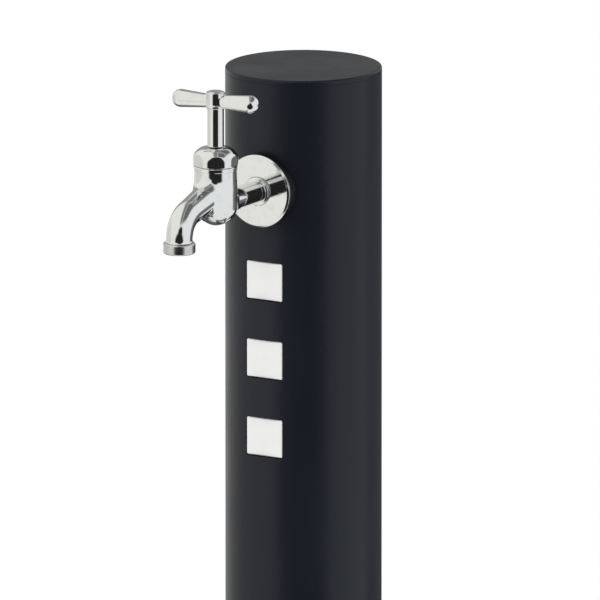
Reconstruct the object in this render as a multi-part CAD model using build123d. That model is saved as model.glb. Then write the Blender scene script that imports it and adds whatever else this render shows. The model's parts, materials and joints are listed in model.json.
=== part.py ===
"""Garden standpipe: a round post with three glass tiles let into it, and a T-handled garden tap.

Millimetres. +Z is up, the tap points along -Y, and the origin is the centre of the post's foot.
The tap's own pieces are drawn round its handle axis, with zero height on the axis of its neck,
and are then moved to their place on the post.
"""
import os
from math import cos, radians, sin, sqrt, tan

from build123d import *

# Every cut runs past its solid by this much.
OVERRUN = 1.0

# Post
POST_DIAMETER = 114.3
POST_WALL = 3.0
STANDPIPE_HEIGHT = 1200.0
CAP_THICKNESS = 4.0
CAP_EDGE_RADIUS = 1.5
CAP_SKIRT_DEPTH = 16.0
CAP_SKIRT_WALL = 3.0
PLUG_CLEARANCE = 0.15
POST_RADIUS = POST_DIAMETER / 2
BORE_RADIUS = POST_RADIUS - POST_WALL
TUBE_TOP = STANDPIPE_HEIGHT - CAP_THICKNESS

# Screws that hold the cap, through the back of the post
CAP_SCREW_ANGLES = (50.0, 130.0)
CAP_SCREW_THREAD_DIAMETER = 4.0
CAP_SCREW_LENGTH = 7.0
CAP_SCREW_HEAD_DIAMETER = 7.6
CAP_SCREW_HEAD_HEIGHT = 2.2
CAP_SCREW_HEAD_ROUNDING = 0.9
SCREW_CLEARANCE = 0.15
SCREW_SLOT_WIDTH = 1.0
SCREW_SLOT_DEPTH = 1.2
CAP_SCREW_Z = TUBE_TOP - CAP_SKIRT_DEPTH / 2

# Foot of the post: the plate it stands on, the cross hole for an anchor bar,
# and the window at the back for the supply pipe
FOOT_PLATE_THICKNESS = 4.0
FOOT_PIPE_HOLE_DIAMETER = 36.0
ANCHOR_HOLE_DIAMETER = 11.0
ANCHOR_HOLE_Z = 60.0
WINDOW_WIDTH = 40.0
WINDOW_HEIGHT = 48.0
WINDOW_LOW = 12.0
WINDOW_CORNER_RADIUS = 12.0

# Place of the tap
TAP_BELOW_TOP = 82.0
TAP_REACH = 122.6
TAP_Z = STANDPIPE_HEIGHT - TAP_BELOW_TOP

# Glass tiles
TILE_COUNT = 3
TILE_WIDTH = 30.0
TILE_HEIGHT = 28.0
TILE_THICKNESS = 8.0
TILE_PITCH = 58.2
FIRST_TILE_DROP = 68.6
TILE_JOINT = 0.6
TILE_CORNER_RADIUS = 1.2
TILE_ARRIS = 0.5
TILE_BED_THICKNESS = 1.0
TRAY_WALL = 1.5
TILE_FACE = sqrt(POST_RADIUS**2 - (TILE_WIDTH / 2) ** 2)
TILE_BACK = TILE_FACE - TILE_THICKNESS
TRAY_FLOOR = TILE_BACK - TILE_BED_THICKNESS

# Pipe threads: outside diameter of a half-inch and a three-quarter-inch pipe thread,
# and the inside diameter of the half-inch one
HALF_INCH_THREAD = 20.955
HALF_INCH_THREAD_CORE = 18.631
THREE_QUARTER_THREAD = 26.441
THREAD_CLEARANCE = 0.05

# Packing pieces outside and inside the wall, and the nut that clamps them
OUTER_SADDLE_THICKNESS = 5.15
OUTER_SADDLE_RIM = 6.1
OUTER_SADDLE_EDGE = 0.8
INNER_SADDLE_WIDTH = 46.0
INNER_SADDLE_HEIGHT = 44.0
INNER_SADDLE_THICKNESS = 11.0
WALL_HOLE_DIAMETER = 27.2
LOCK_NUT_FLATS = 31.0
LOCK_NUT_THICKNESS = 3.2
LOCK_NUT_ROOM = 1.0
NUT_RECESS_RADIUS = LOCK_NUT_FLATS / sqrt(3) + LOCK_NUT_ROOM
OUTER_SADDLE_RADIUS = NUT_RECESS_RADIUS + OUTER_SADDLE_RIM
SADDLE_FRONT = POST_RADIUS + OUTER_SADDLE_THICKNESS
SADDLE_BACK = BORE_RADIUS - INNER_SADDLE_THICKNESS
LOCK_NUT_FRONT = SADDLE_FRONT - THREAD_CLEARANCE
LOCK_NUT_BACK = LOCK_NUT_FRONT - LOCK_NUT_THICKNESS

# Brass elbow, riser pipe and inlet
RISER_BEHIND_TRAYS = 3.15
RISER_DIAMETER = 18.0
RISER_WALL = 2.5
ELBOW_BARREL_DIAMETER = 26.0
ELBOW_SHOULDER_DIAMETER = 38.0
ELBOW_SHOULDER_THICKNESS = 4.0
ELBOW_LEG = 34.0
PIPE_SOCKET_DEPTH = 20.0
ELBOW_THREAD_DEPTH = 15.0
PIPE_CLEARANCE = 0.05
INLET_Z = 30.0
INLET_DIAMETER = 27.0
INLET_FLATS = 28.0
INLET_THREAD_DEPTH = 16.0
INLET_STOP = 4.0
INSULATION_DIAMETER = 33.0
INSULATION_CLEARANCE = 0.2
INSULATION_GAP = 2.0
RISER_SETBACK = TRAY_FLOOR - TRAY_WALL - RISER_BEHIND_TRAYS - INSULATION_DIAMETER / 2
RISER_RADIUS = RISER_DIAMETER / 2
RISER_BORE_RADIUS = RISER_RADIUS - RISER_WALL
RISER_TOP = TAP_Z - ELBOW_LEG + PIPE_SOCKET_DEPTH
RISER_BOTTOM = INLET_Z + INLET_THREAD_DEPTH + INLET_STOP
INLET_TOP = RISER_BOTTOM + PIPE_SOCKET_DEPTH

# Disc that keeps the riser in its place
GUIDE_Z = 90.0
GUIDE_THICKNESS = 5.0
GUIDE_BOSS_DIAMETER = 28.0
GUIDE_BOSS_HEIGHT = 12.0
GUIDE_HOLE_DIAMETER = 16.0
GUIDE_HOLE_SETBACK = 32.0
GUIDE_HOLE_ANGLES = (30.0, 90.0, 150.0)
GUIDE_TOP = GUIDE_Z + GUIDE_BOSS_HEIGHT

# Flange
FLANGE_DIAMETER = 53.6
FLANGE_RIM = 1.8
FLANGE_BEVEL_DEPTH = 1.2
FLANGE_BEVEL_WIDTH = 1.3
FLANGE_HOLE_CLEARANCE = 0.15
FLANGE_FRONT = SADDLE_FRONT + FLANGE_RIM + FLANGE_BEVEL_DEPTH

# Tap body: chamber, neck and spout
BELLY_RADIUS = 15.8
BELLY_DEPTH = 13.6
BODY_RADIUS = 15.5
BODY_TOP = 29.8
BODY_RIM_RADIUS = 15.9
BODY_RIM_HEIGHT = 2.8
BODY_RIM_CHAMFER = 0.5
BODY_THREAD_RADIUS = 11.0
BODY_THREAD_HEIGHT = 8.2
NECK_RADIUS = 8.2
NECK_ROOT_RADIUS = 11.4
NECK_ROOT_LENGTH = 12.5
SHANK_THREAD_SHOWING = 3.7
SHANK_THREAD_LENGTH = 21.0
SHANK_THREAD_CHAMFER = 0.8
INLET_BORE_RADIUS = 5.0
INLET_BORE_DROP = 1.5
LOWER_CHAMBER_RADIUS = 8.0
LOWER_CHAMBER_FLOOR = -8.0
SEAT_WEB_LOW = 3.0
SEAT_WEB_HIGH = 6.5
SEAT_HOLE_RADIUS = 5.5
SEAT_LIP_WIDTH = 1.7
SEAT_LIP_HEIGHT = 1.5
UPPER_CHAMBER_RADIUS = 11.0
UPPER_CHAMBER_TOP = 19.0
SPINDLE_THREAD_RADIUS = 8.2
BODY_NECK_TOP = BODY_TOP + BODY_THREAD_HEIGHT
SEAT_TOP = SEAT_WEB_HIGH + SEAT_LIP_HEIGHT
RUNNING_CLEARANCE = 0.1

# Spout: a straight run that falls away from the body, a bend, and a straight end
SPOUT_REACH = 50.4
SPOUT_FALL_ANGLE = 15.0
SPOUT_BEND_RADIUS = 18.0
SPOUT_BEND_END = -16.0
SPOUT_ROOT_RADIUS = 11.6
SPOUT_RADIUS = 9.6
SPOUT_END_RADIUS = 10.2
SPOUT_FILLET = 2.5
SPOUT_BORE_RADIUS = 5.5
SPOUT_BORE_OVERLAP = 2.0
SPOUT_BORE_SILL = 0.4
OUTLET_Z = -26.0
COLLAR_RADIUS = 11.75
COLLAR_HEIGHT = 8.0
COLLAR_CHAMFER = 0.7
COLLAR_LIP = 1.1
OUTLET_RADIUS = 8.0
OUTLET_BORE_LENGTH = 10.0
SPOUT_THREAD_RADIUS = 9.5
SEAL_THICKNESS = 0.9
COLLAR_TOP = OUTLET_Z + COLLAR_HEIGHT
SEAL_LOW = OUTLET_Z + COLLAR_LIP
SPOUT_END = SEAL_LOW + SEAL_THICKNESS

# Cover nut and packing
COVER_NUT_FLATS = 30.8
COVER_NUT_CORNER_RADIUS = 8.0
COVER_NUT_TURN = -26.0
COVER_NUT_GAP = 0.2
COVER_NUT_TOP = 43.5
COVER_NUT_SHOULDER = 34.6
COVER_NUT_CROWN_RADIUS = 7.2
COVER_NUT_HOLE_RADIUS = 4.5
COVER_NUT_FOOT_CHAMFER = 0.8
PACKING_SEAT_RADIUS = 10.2
PACKING_SEAT_THICKNESS = 1.2
PACKING_BASE_RADIUS = 8.0
PACKING_TOP_RADIUS = 5.6
PACKING_HEIGHT = 2.8
PACKING_ROOM = 0.3
COVER_NUT_LOW = BODY_TOP + COVER_NUT_GAP
PACKING_LOW = BODY_NECK_TOP + PACKING_SEAT_THICKNESS
PACKING_TOP = PACKING_LOW + PACKING_HEIGHT

# Valve under the spindle
CONTACT_GAP = 0.05
WASHER_RADIUS = 7.7
WASHER_THICKNESS = 3.5
JUMPER_DISC_RADIUS = 7.4
JUMPER_DISC_THICKNESS = 2.5
JUMPER_STEM_RADIUS = 3.0
JUMPER_STEM_LENGTH = 12.5
JUMPER_STUD_RADIUS = 1.5
WASHER_NUT_FLATS = 6.0
WASHER_NUT_THICKNESS = 2.4
JUMPER_STUD_LENGTH = WASHER_THICKNESS + WASHER_NUT_THICKNESS + CONTACT_GAP
WASHER_LOW = SEAT_TOP + CONTACT_GAP
JUMPER_LOW = WASHER_LOW + WASHER_THICKNESS
JUMPER_TOP = JUMPER_LOW + JUMPER_DISC_THICKNESS

# Spindle
SPINDLE_NOSE_RADIUS = 5.5
SPINDLE_THREAD_LOW = 20.0
SPINDLE_THREAD_TOP = 31.5
SPINDLE_STEM_RADIUS = 4.0
SPINDLE_END_RADIUS = 3.7
SPINDLE_END_LENGTH = 12.0
SPINDLE_STEP_CHAMFER = 0.8
SPINDLE_BORE_DEPTH = 13.5
SPINDLE_LOW = JUMPER_TOP + CONTACT_GAP

# Handle
HANDLE_TURN = 6.0
HANDLE_BAR_Z = 77.2
HANDLE_HALF_LENGTH = 34.2
HANDLE_ARM_RADIUS = 4.5
HANDLE_TIP_RADIUS = 6.6
HANDLE_HUB_RADIUS = 6.8
HANDLE_HUB_LOW = 73.6
HANDLE_HUB_TOP = 84.2
HANDLE_HUB_ROUNDING = 0.6
HANDLE_RING_RADIUS = 7.3
HANDLE_RING_HEIGHT = 2.6
HANDLE_SLEEVE_RADIUS = 6.1
HANDLE_SLEEVE_LOW = 44.0
HANDLE_SLEEVE_CHAMFER = 0.4
HANDLE_WEB = 1.2
HUB_CAP_RADIUS = 5.6
HUB_CAP_THICKNESS = 1.5
HUB_CAP_PROUD = 0.5
HUB_CAP_ROUNDING = 0.5
HANDLE_SCREW_RADIUS = 2.0
HANDLE_SCREW_LENGTH = 12.0
HANDLE_SCREW_HEAD_RADIUS = 3.6
HANDLE_SCREW_HEAD_HEIGHT = 2.4
SPINDLE_TOP = HANDLE_HUB_TOP + HUB_CAP_PROUD - HUB_CAP_THICKNESS - HANDLE_SCREW_HEAD_HEIGHT - HANDLE_WEB * 2
SCREW_SEAT_Z = SPINDLE_TOP + HANDLE_WEB

STANDING = (Align.CENTER, Align.CENTER, Align.MIN)


def rod_z(radius, low, high):
    """A cylinder along Z between two heights."""
    return Pos(0, 0, low) * Cylinder(radius, high - low, align=STANDING)


def ring_z(outer, inner, low, high):
    """A tube along Z between two heights."""
    return rod_z(outer, low, high) - rod_z(inner, low - OVERRUN, high + OVERRUN)


def rod_y(radius, low, high):
    """A cylinder along Y between two places."""
    return Pos(0, low, 0) * Rot(-90, 0, 0) * Cylinder(radius, high - low, align=STANDING)


def cone_between(start, end, start_radius, end_radius):
    """A cone, or a cylinder, between two points of the YZ plane."""
    run = Vector(0, *end) - Vector(0, *start)
    seat = Plane(origin=(0, *start), z_dir=run)
    if start_radius == end_radius:
        return seat * Cylinder(start_radius, run.length, align=STANDING)
    return seat * Cone(start_radius, end_radius, run.length, align=STANDING)


def turned(*edges):
    """A solid of revolution about Z from the edges of its half outline, drawn in the XZ plane."""
    loop = [piece for edge in edges for piece in edge.edges()]
    return revolve(make_face(loop), axis=Axis.Z)


def outline(*points):
    """Straight edges through points given as radius and height."""
    return Polyline(*[(radius, 0, height) for radius, height in points])


def hexagon(flats, low, high, turn=0):
    """A hexagonal bar along Z."""
    flat = RegularPolygon(flats / 2, 6, major_radius=False, rotation=turn)
    return Pos(0, 0, low) * extrude(flat, high - low)


def slab(width, height, front, back, corner=0.0):
    """A plate that faces -Y, centred on the Z axis, between two distances in front of it."""
    flat = RectangleRounded(width, height, corner) if corner else Rectangle(width, height)
    return extrude(Plane(origin=(0, -back, 0), x_dir=(1, 0, 0), z_dir=(0, -1, 0)) * flat, front - back)


def on_tap(shape):
    """Moves a piece from the tap's own axes to its place on the post."""
    return Pos(0, -TAP_REACH, TAP_Z) * shape


def tile_heights():
    """Heights of the tiles' centres, from the top one down."""
    return [TAP_Z - FIRST_TILE_DROP - TILE_PITCH * index for index in range(TILE_COUNT)]


def post_tube():
    """The post's tube with its holes for the tap, the tiles, the anchor bar and the screws, and its window."""
    tube = ring_z(POST_RADIUS, BORE_RADIUS, 0, TUBE_TOP)
    tube -= Pos(0, 0, TAP_Z) * rod_y(WALL_HOLE_DIAMETER / 2, -POST_RADIUS - OVERRUN, -BORE_RADIUS / 2)
    opening = slab(
        TILE_WIDTH + 2 * TILE_JOINT,
        TILE_HEIGHT + 2 * TILE_JOINT,
        POST_RADIUS + OVERRUN,
        BORE_RADIUS / 2,
        TILE_CORNER_RADIUS + TILE_JOINT,
    )
    for height in tile_heights():
        tube -= Pos(0, 0, height) * opening
    cross = Rot(0, 90, 0) * Cylinder(ANCHOR_HOLE_DIAMETER / 2, POST_DIAMETER + 2 * OVERRUN)
    tube -= Pos(0, 0, ANCHOR_HOLE_Z) * cross
    window = slab(WINDOW_WIDTH, WINDOW_HEIGHT, POST_RADIUS + OVERRUN, BORE_RADIUS / 2, WINDOW_CORNER_RADIUS)
    tube -= Pos(0, 0, WINDOW_LOW + WINDOW_HEIGHT / 2) * Rot(0, 0, 180) * window
    for angle in CAP_SCREW_ANGLES:
        tube -= cap_screw_place(angle) * Cylinder(
            CAP_SCREW_THREAD_DIAMETER / 2 + SCREW_CLEARANCE, POST_WALL * 4
        )
    return tube


def foot_plate():
    """The plate in the tube's lower end, with a hole for the supply pipe."""
    plate = rod_z(BORE_RADIUS - PLUG_CLEARANCE, 0, FOOT_PLATE_THICKNESS)
    hole = rod_z(FOOT_PIPE_HOLE_DIAMETER / 2, -OVERRUN, FOOT_PLATE_THICKNESS + OVERRUN)
    return plate - Pos(0, -RISER_SETBACK, 0) * hole


def cap_screw_place(angle):
    """Where a cap screw's head meets the post, with Z pointing out of the post."""
    return Rot(0, 0, angle) * Pos(POST_RADIUS, 0, CAP_SCREW_Z) * Rot(0, 90, 0)


def top_cap():
    """The cap: a flat lid with a skirt that plugs into the tube."""
    lid = rod_z(POST_RADIUS, TUBE_TOP, STANDPIPE_HEIGHT)
    lid = fillet(lid.edges().group_by(Axis.Z)[-1], CAP_EDGE_RADIUS)
    skirt_radius = BORE_RADIUS - PLUG_CLEARANCE
    skirt = ring_z(skirt_radius, skirt_radius - CAP_SKIRT_WALL, TUBE_TOP - CAP_SKIRT_DEPTH, TUBE_TOP)
    cap = lid + skirt
    for angle in CAP_SCREW_ANGLES:
        reach = 2 * (POST_WALL + PLUG_CLEARANCE + CAP_SKIRT_WALL + OVERRUN)
        cap -= cap_screw_place(angle) * Cylinder(CAP_SCREW_THREAD_DIAMETER / 2 + THREAD_CLEARANCE, reach)
    return cap


def cap_screws():
    """Round-headed screws at the back of the post, under the cap's lid."""
    head = rod_z(CAP_SCREW_HEAD_DIAMETER / 2, 0, CAP_SCREW_HEAD_HEIGHT)
    head = fillet(head.edges().group_by(Axis.Z)[-1], CAP_SCREW_HEAD_ROUNDING)
    slot = Pos(0, 0, CAP_SCREW_HEAD_HEIGHT) * Box(
        CAP_SCREW_HEAD_DIAMETER, SCREW_SLOT_WIDTH, SCREW_SLOT_DEPTH * 2
    )
    screw = head - slot + rod_z(CAP_SCREW_THREAD_DIAMETER / 2, -CAP_SCREW_LENGTH, 0)
    return [cap_screw_place(angle) * screw for angle in CAP_SCREW_ANGLES]


def glass_tile():
    """One tile, with a small arris along the edges of its face."""
    tile = slab(TILE_WIDTH, TILE_HEIGHT, TILE_FACE, TILE_BACK, TILE_CORNER_RADIUS)
    return chamfer(tile.faces().sort_by(Axis.Y)[0].edges(), TILE_ARRIS)


def tile_bed():
    """The adhesive between a tile and its tray."""
    return slab(TILE_WIDTH, TILE_HEIGHT, TILE_BACK, TRAY_FLOOR, TILE_CORNER_RADIUS)


def tile_tray():
    """The tray behind a tile, whose walls run forward to the inside of the tube."""
    inner_width = TILE_WIDTH + 2 * TILE_JOINT
    inner_height = TILE_HEIGHT + 2 * TILE_JOINT
    tray = slab(inner_width + 2 * TRAY_WALL, inner_height + 2 * TRAY_WALL, POST_RADIUS, TRAY_FLOOR - TRAY_WALL)
    tray -= slab(inner_width, inner_height, POST_RADIUS + OVERRUN, TRAY_FLOOR)
    reach = inner_height + 2 * TRAY_WALL
    return tray & rod_z(BORE_RADIUS - PLUG_CLEARANCE, -reach, reach)


def outer_saddle():
    """The packing piece outside: its back follows the post and its front is flat."""
    block = rod_y(OUTER_SADDLE_RADIUS, -SADDLE_FRONT, -BORE_RADIUS / 2)
    block = chamfer(block.edges().sort_by(Axis.Y)[0], OUTER_SADDLE_EDGE)
    block -= rod_z(POST_RADIUS, -2 * OUTER_SADDLE_RADIUS, 2 * OUTER_SADDLE_RADIUS)
    block -= rod_y(NUT_RECESS_RADIUS, -SADDLE_FRONT - OVERRUN, -LOCK_NUT_BACK)
    return block - rod_y(WALL_HOLE_DIAMETER / 2, -SADDLE_FRONT, 0)


def inner_saddle():
    """The packing piece inside: its front follows the tube and its back is flat."""
    block = slab(INNER_SADDLE_WIDTH, INNER_SADDLE_HEIGHT, BORE_RADIUS + OVERRUN, SADDLE_BACK)
    block &= rod_z(BORE_RADIUS, -INNER_SADDLE_HEIGHT, INNER_SADDLE_HEIGHT)
    return block - rod_y(WALL_HOLE_DIAMETER / 2, -POST_RADIUS, 0)


def lock_nut():
    """The thin hexagon nut that clamps the elbow to the wall."""
    nut = hexagon(LOCK_NUT_FLATS, LOCK_NUT_BACK, LOCK_NUT_FRONT)
    nut -= rod_z(THREE_QUARTER_THREAD / 2 + THREAD_CLEARANCE, 0, SADDLE_FRONT + OVERRUN)
    return Rot(90, 0, 0) * nut


def elbow_fitting():
    """The elbow: a threaded spigot through the wall, a shoulder inside it, and a pipe socket below."""
    barrel_radius = ELBOW_BARREL_DIAMETER / 2
    corner = Pos(0, -RISER_SETBACK, 0)
    elbow = rod_y(THREE_QUARTER_THREAD / 2, -LOCK_NUT_FRONT, -SADDLE_BACK)
    elbow += rod_y(ELBOW_SHOULDER_DIAMETER / 2, -SADDLE_BACK, ELBOW_SHOULDER_THICKNESS - SADDLE_BACK)
    elbow += rod_y(barrel_radius, -SADDLE_BACK, -RISER_SETBACK)
    elbow += corner * Sphere(barrel_radius)
    elbow += corner * rod_z(barrel_radius, -ELBOW_LEG, 0)
    water = RISER_BORE_RADIUS
    thread_end = LOCK_NUT_FRONT - ELBOW_THREAD_DEPTH
    elbow -= rod_y(HALF_INCH_THREAD / 2 + THREAD_CLEARANCE, -LOCK_NUT_FRONT - OVERRUN, -thread_end)
    elbow -= rod_y(water, -thread_end - OVERRUN, -RISER_SETBACK)
    elbow -= corner * Sphere(water)
    elbow -= corner * rod_z(water, -ELBOW_LEG, 0)
    socket = rod_z(RISER_RADIUS + PIPE_CLEARANCE, -ELBOW_LEG - OVERRUN, PIPE_SOCKET_DEPTH - ELBOW_LEG)
    return elbow - corner * socket


def riser_pipe():
    """The riser between the inlet socket and the elbow."""
    pipe = ring_z(RISER_RADIUS, RISER_BORE_RADIUS, RISER_BOTTOM, RISER_TOP)
    return Pos(0, -RISER_SETBACK, 0) * pipe


def pipe_insulation():
    """Foam sleeve round the riser, from the guide disc to the elbow."""
    top = TAP_Z - ELBOW_LEG - INSULATION_GAP
    sleeve = ring_z(INSULATION_DIAMETER / 2, RISER_RADIUS + INSULATION_CLEARANCE, GUIDE_TOP, top)
    return Pos(0, -RISER_SETBACK, 0) * sleeve


def inlet_socket():
    """The socket at the riser's foot, with the supply pipe's thread below."""
    socket = rod_z(INLET_DIAMETER / 2, INLET_Z, INLET_TOP)
    socket += hexagon(INLET_FLATS, INLET_Z, INLET_Z + INLET_THREAD_DEPTH)
    socket -= rod_z(HALF_INCH_THREAD_CORE / 2, INLET_Z - OVERRUN, INLET_Z + INLET_THREAD_DEPTH)
    socket -= rod_z(RISER_BORE_RADIUS, INLET_Z, INLET_TOP)
    socket -= rod_z(RISER_RADIUS + PIPE_CLEARANCE, RISER_BOTTOM, INLET_TOP + OVERRUN)
    return Pos(0, -RISER_SETBACK, 0) * socket


def pipe_guide():
    """The disc across the post that holds the riser, with open holes for drips."""
    disc = rod_z(BORE_RADIUS - PLUG_CLEARANCE, GUIDE_Z, GUIDE_Z + GUIDE_THICKNESS)
    disc += Pos(0, -RISER_SETBACK, 0) * rod_z(GUIDE_BOSS_DIAMETER / 2, GUIDE_Z, GUIDE_TOP)
    hole = rod_z(GUIDE_HOLE_DIAMETER / 2, GUIDE_Z - OVERRUN, GUIDE_TOP + OVERRUN)
    for angle in GUIDE_HOLE_ANGLES:
        disc -= Rot(0, 0, angle) * Pos(GUIDE_HOLE_SETBACK, 0, 0) * hole
    pipe_hole = rod_z(RISER_RADIUS + PIPE_CLEARANCE, GUIDE_Z - OVERRUN, GUIDE_TOP + OVERRUN)
    return disc - Pos(0, -RISER_SETBACK, 0) * pipe_hole


def escutcheon():
    """The flange: a flat disc with a bevelled edge, round the tap's thread."""
    radius = FLANGE_DIAMETER / 2
    disc = rod_y(radius, -FLANGE_FRONT, -SADDLE_FRONT)
    disc = chamfer(disc.edges().sort_by(Axis.Y)[0], FLANGE_BEVEL_DEPTH, FLANGE_BEVEL_WIDTH)
    hole = rod_y(HALF_INCH_THREAD / 2 + FLANGE_HOLE_CLEARANCE, -FLANGE_FRONT - OVERRUN, -BORE_RADIUS)
    return disc - hole


def chamber_shell():
    """Outside of the chamber: round belly, slightly tapered wall, rim and thread."""
    diagonal = cos(radians(45))
    belly = ThreePointArc(
        (0, 0, -BELLY_DEPTH), (BELLY_RADIUS * diagonal, 0, -BELLY_DEPTH * diagonal), (BELLY_RADIUS, 0, 0)
    )
    rim_low = BODY_TOP - BODY_RIM_HEIGHT
    wall_top = rim_low - BODY_RIM_CHAMFER
    bulge = (BELLY_RADIUS * 2 + BODY_RADIUS) / 3
    wall = ThreePointArc((BELLY_RADIUS, 0, 0), (bulge, 0, wall_top / 2), (BODY_RADIUS, 0, wall_top))
    rest = outline(
        (BODY_RADIUS, wall_top),
        (BODY_RIM_RADIUS, rim_low),
        (BODY_RIM_RADIUS, BODY_TOP - BODY_RIM_CHAMFER),
        (BODY_RIM_RADIUS - BODY_RIM_CHAMFER, BODY_TOP),
        (BODY_THREAD_RADIUS, BODY_TOP),
        (BODY_THREAD_RADIUS, BODY_NECK_TOP),
        (0, BODY_NECK_TOP),
        (0, -BELLY_DEPTH),
    )
    return turned(belly, wall, rest)


def bend_start():
    """Where the spout's straight run meets its bend."""
    fall = radians(SPOUT_FALL_ANGLE)
    forward = SPOUT_REACH - SPOUT_BEND_RADIUS + SPOUT_BEND_RADIUS * sin(fall)
    return -forward, SPOUT_BEND_END + SPOUT_BEND_RADIUS * cos(fall)


def spout_bend(radius):
    """The bend, turned back and up from the spout's straight end."""
    end = Plane(origin=(0, -SPOUT_REACH, SPOUT_BEND_END), z_dir=(0, 0, 1)) * Circle(radius)
    pivot = Axis((0, SPOUT_BEND_RADIUS - SPOUT_REACH, SPOUT_BEND_END), (-1, 0, 0))
    return revolve(end, axis=pivot, revolution_arc=90 - SPOUT_FALL_ANGLE)


def spout_shell():
    """Outside of the spout, from the handle axis to the thread for the collar."""
    start = bend_start()
    axis_height = start[1] - start[0] * tan(radians(SPOUT_FALL_ANGLE))
    run = cone_between((0, axis_height), start, SPOUT_ROOT_RADIUS, SPOUT_RADIUS)
    end = (-SPOUT_REACH, SPOUT_BEND_END)
    flare = cone_between(end, (-SPOUT_REACH, COLLAR_TOP), SPOUT_RADIUS, SPOUT_END_RADIUS)
    thread = cone_between(
        (-SPOUT_REACH, COLLAR_TOP), (-SPOUT_REACH, SPOUT_END), SPOUT_THREAD_RADIUS, SPOUT_THREAD_RADIUS
    )
    return run + spout_bend(SPOUT_RADIUS) + flare + thread


def spout_water():
    """The water way from the upper chamber to the outlet."""
    start = bend_start()
    inner = (SPOUT_BORE_OVERLAP - UPPER_CHAMBER_RADIUS, SEAT_WEB_HIGH + SPOUT_BORE_RADIUS + SPOUT_BORE_SILL)
    way = cone_between(inner, start, SPOUT_BORE_RADIUS, SPOUT_BORE_RADIUS)
    way += Pos(0, *start) * Sphere(SPOUT_BORE_RADIUS)
    way += spout_bend(SPOUT_BORE_RADIUS)
    mouth = rod_z(OUTLET_RADIUS, OUTLET_Z, OUTLET_Z + OUTLET_BORE_LENGTH)
    return way + Pos(0, -SPOUT_REACH, 0) * mouth


def neck_shell():
    """Outside of the neck: a flared root at the body, a plain waist and the threaded end."""
    thread_start = TAP_REACH - FLANGE_FRONT - SHANK_THREAD_SHOWING
    flare_start = BODY_RADIUS / 3
    flare_end = flare_start + NECK_ROOT_LENGTH
    neck = cone_between((flare_start, 0), (flare_end, 0), NECK_ROOT_RADIUS, NECK_RADIUS)
    neck += rod_y(NECK_RADIUS, 0, thread_start)
    thread = rod_y(HALF_INCH_THREAD / 2, thread_start, thread_start + SHANK_THREAD_LENGTH)
    ends = thread.edges().filter_by(GeomType.CIRCLE)
    return neck + chamfer(ends, SHANK_THREAD_CHAMFER)


def casting_shell():
    """Outside of the casting, rounded where the spout leaves the chamber."""
    shell = chamber_shell() + spout_shell() + neck_shell()
    seams = [edge for edge in shell.edges().filter_by(GeomType.BSPLINE) if edge.center().Y < 0]
    return fillet(seams, SPOUT_FILLET)


def chamber_water():
    """The rooms under and over the valve seat, and the ways in."""
    neck_end = TAP_REACH - FLANGE_FRONT - SHANK_THREAD_SHOWING + SHANK_THREAD_LENGTH
    way_in = Pos(0, 0, -INLET_BORE_DROP) * rod_y(INLET_BORE_RADIUS, 0, neck_end + OVERRUN)
    lower = rod_z(LOWER_CHAMBER_RADIUS, LOWER_CHAMBER_FLOOR, SEAT_WEB_LOW)
    hole = rod_z(SEAT_HOLE_RADIUS, 0, SEAT_WEB_HIGH + OVERRUN)
    thread_radius = SPINDLE_THREAD_RADIUS + RUNNING_CLEARANCE
    shoulder = UPPER_CHAMBER_TOP + UPPER_CHAMBER_RADIUS - thread_radius
    upper = turned(
        outline(
            (0, SEAT_WEB_HIGH),
            (UPPER_CHAMBER_RADIUS, SEAT_WEB_HIGH),
            (UPPER_CHAMBER_RADIUS, UPPER_CHAMBER_TOP),
            (thread_radius, shoulder),
            (thread_radius, BODY_NECK_TOP + OVERRUN),
            (0, BODY_NECK_TOP + OVERRUN),
            (0, SEAT_WEB_HIGH),
        )
    )
    return way_in + lower + hole + upper


def tap_body():
    """The tap casting: chamber, neck and spout in one piece, with the valve seat inside."""
    body = casting_shell() - chamber_water()
    body -= spout_water()
    return body + ring_z(SEAT_HOLE_RADIUS + SEAT_LIP_WIDTH, SEAT_HOLE_RADIUS, SEAT_WEB_HIGH, SEAT_TOP)


def outlet_collar():
    """The collar screwed on the spout's end, with an inner lip under the seal."""
    collar = rod_z(COLLAR_RADIUS, OUTLET_Z, COLLAR_TOP)
    collar = chamfer(collar.edges().filter_by(GeomType.CIRCLE), COLLAR_CHAMFER)
    collar -= rod_z(OUTLET_RADIUS, OUTLET_Z - OVERRUN, COLLAR_TOP)
    collar -= rod_z(SPOUT_THREAD_RADIUS + THREAD_CLEARANCE, SEAL_LOW, COLLAR_TOP + OVERRUN)
    return Pos(0, -SPOUT_REACH, 0) * collar


def outlet_seal():
    """The seal ring between the collar's lip and the spout."""
    return Pos(0, -SPOUT_REACH, 0) * ring_z(SPOUT_THREAD_RADIUS, OUTLET_RADIUS, SEAL_LOW, SPOUT_END)


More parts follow.
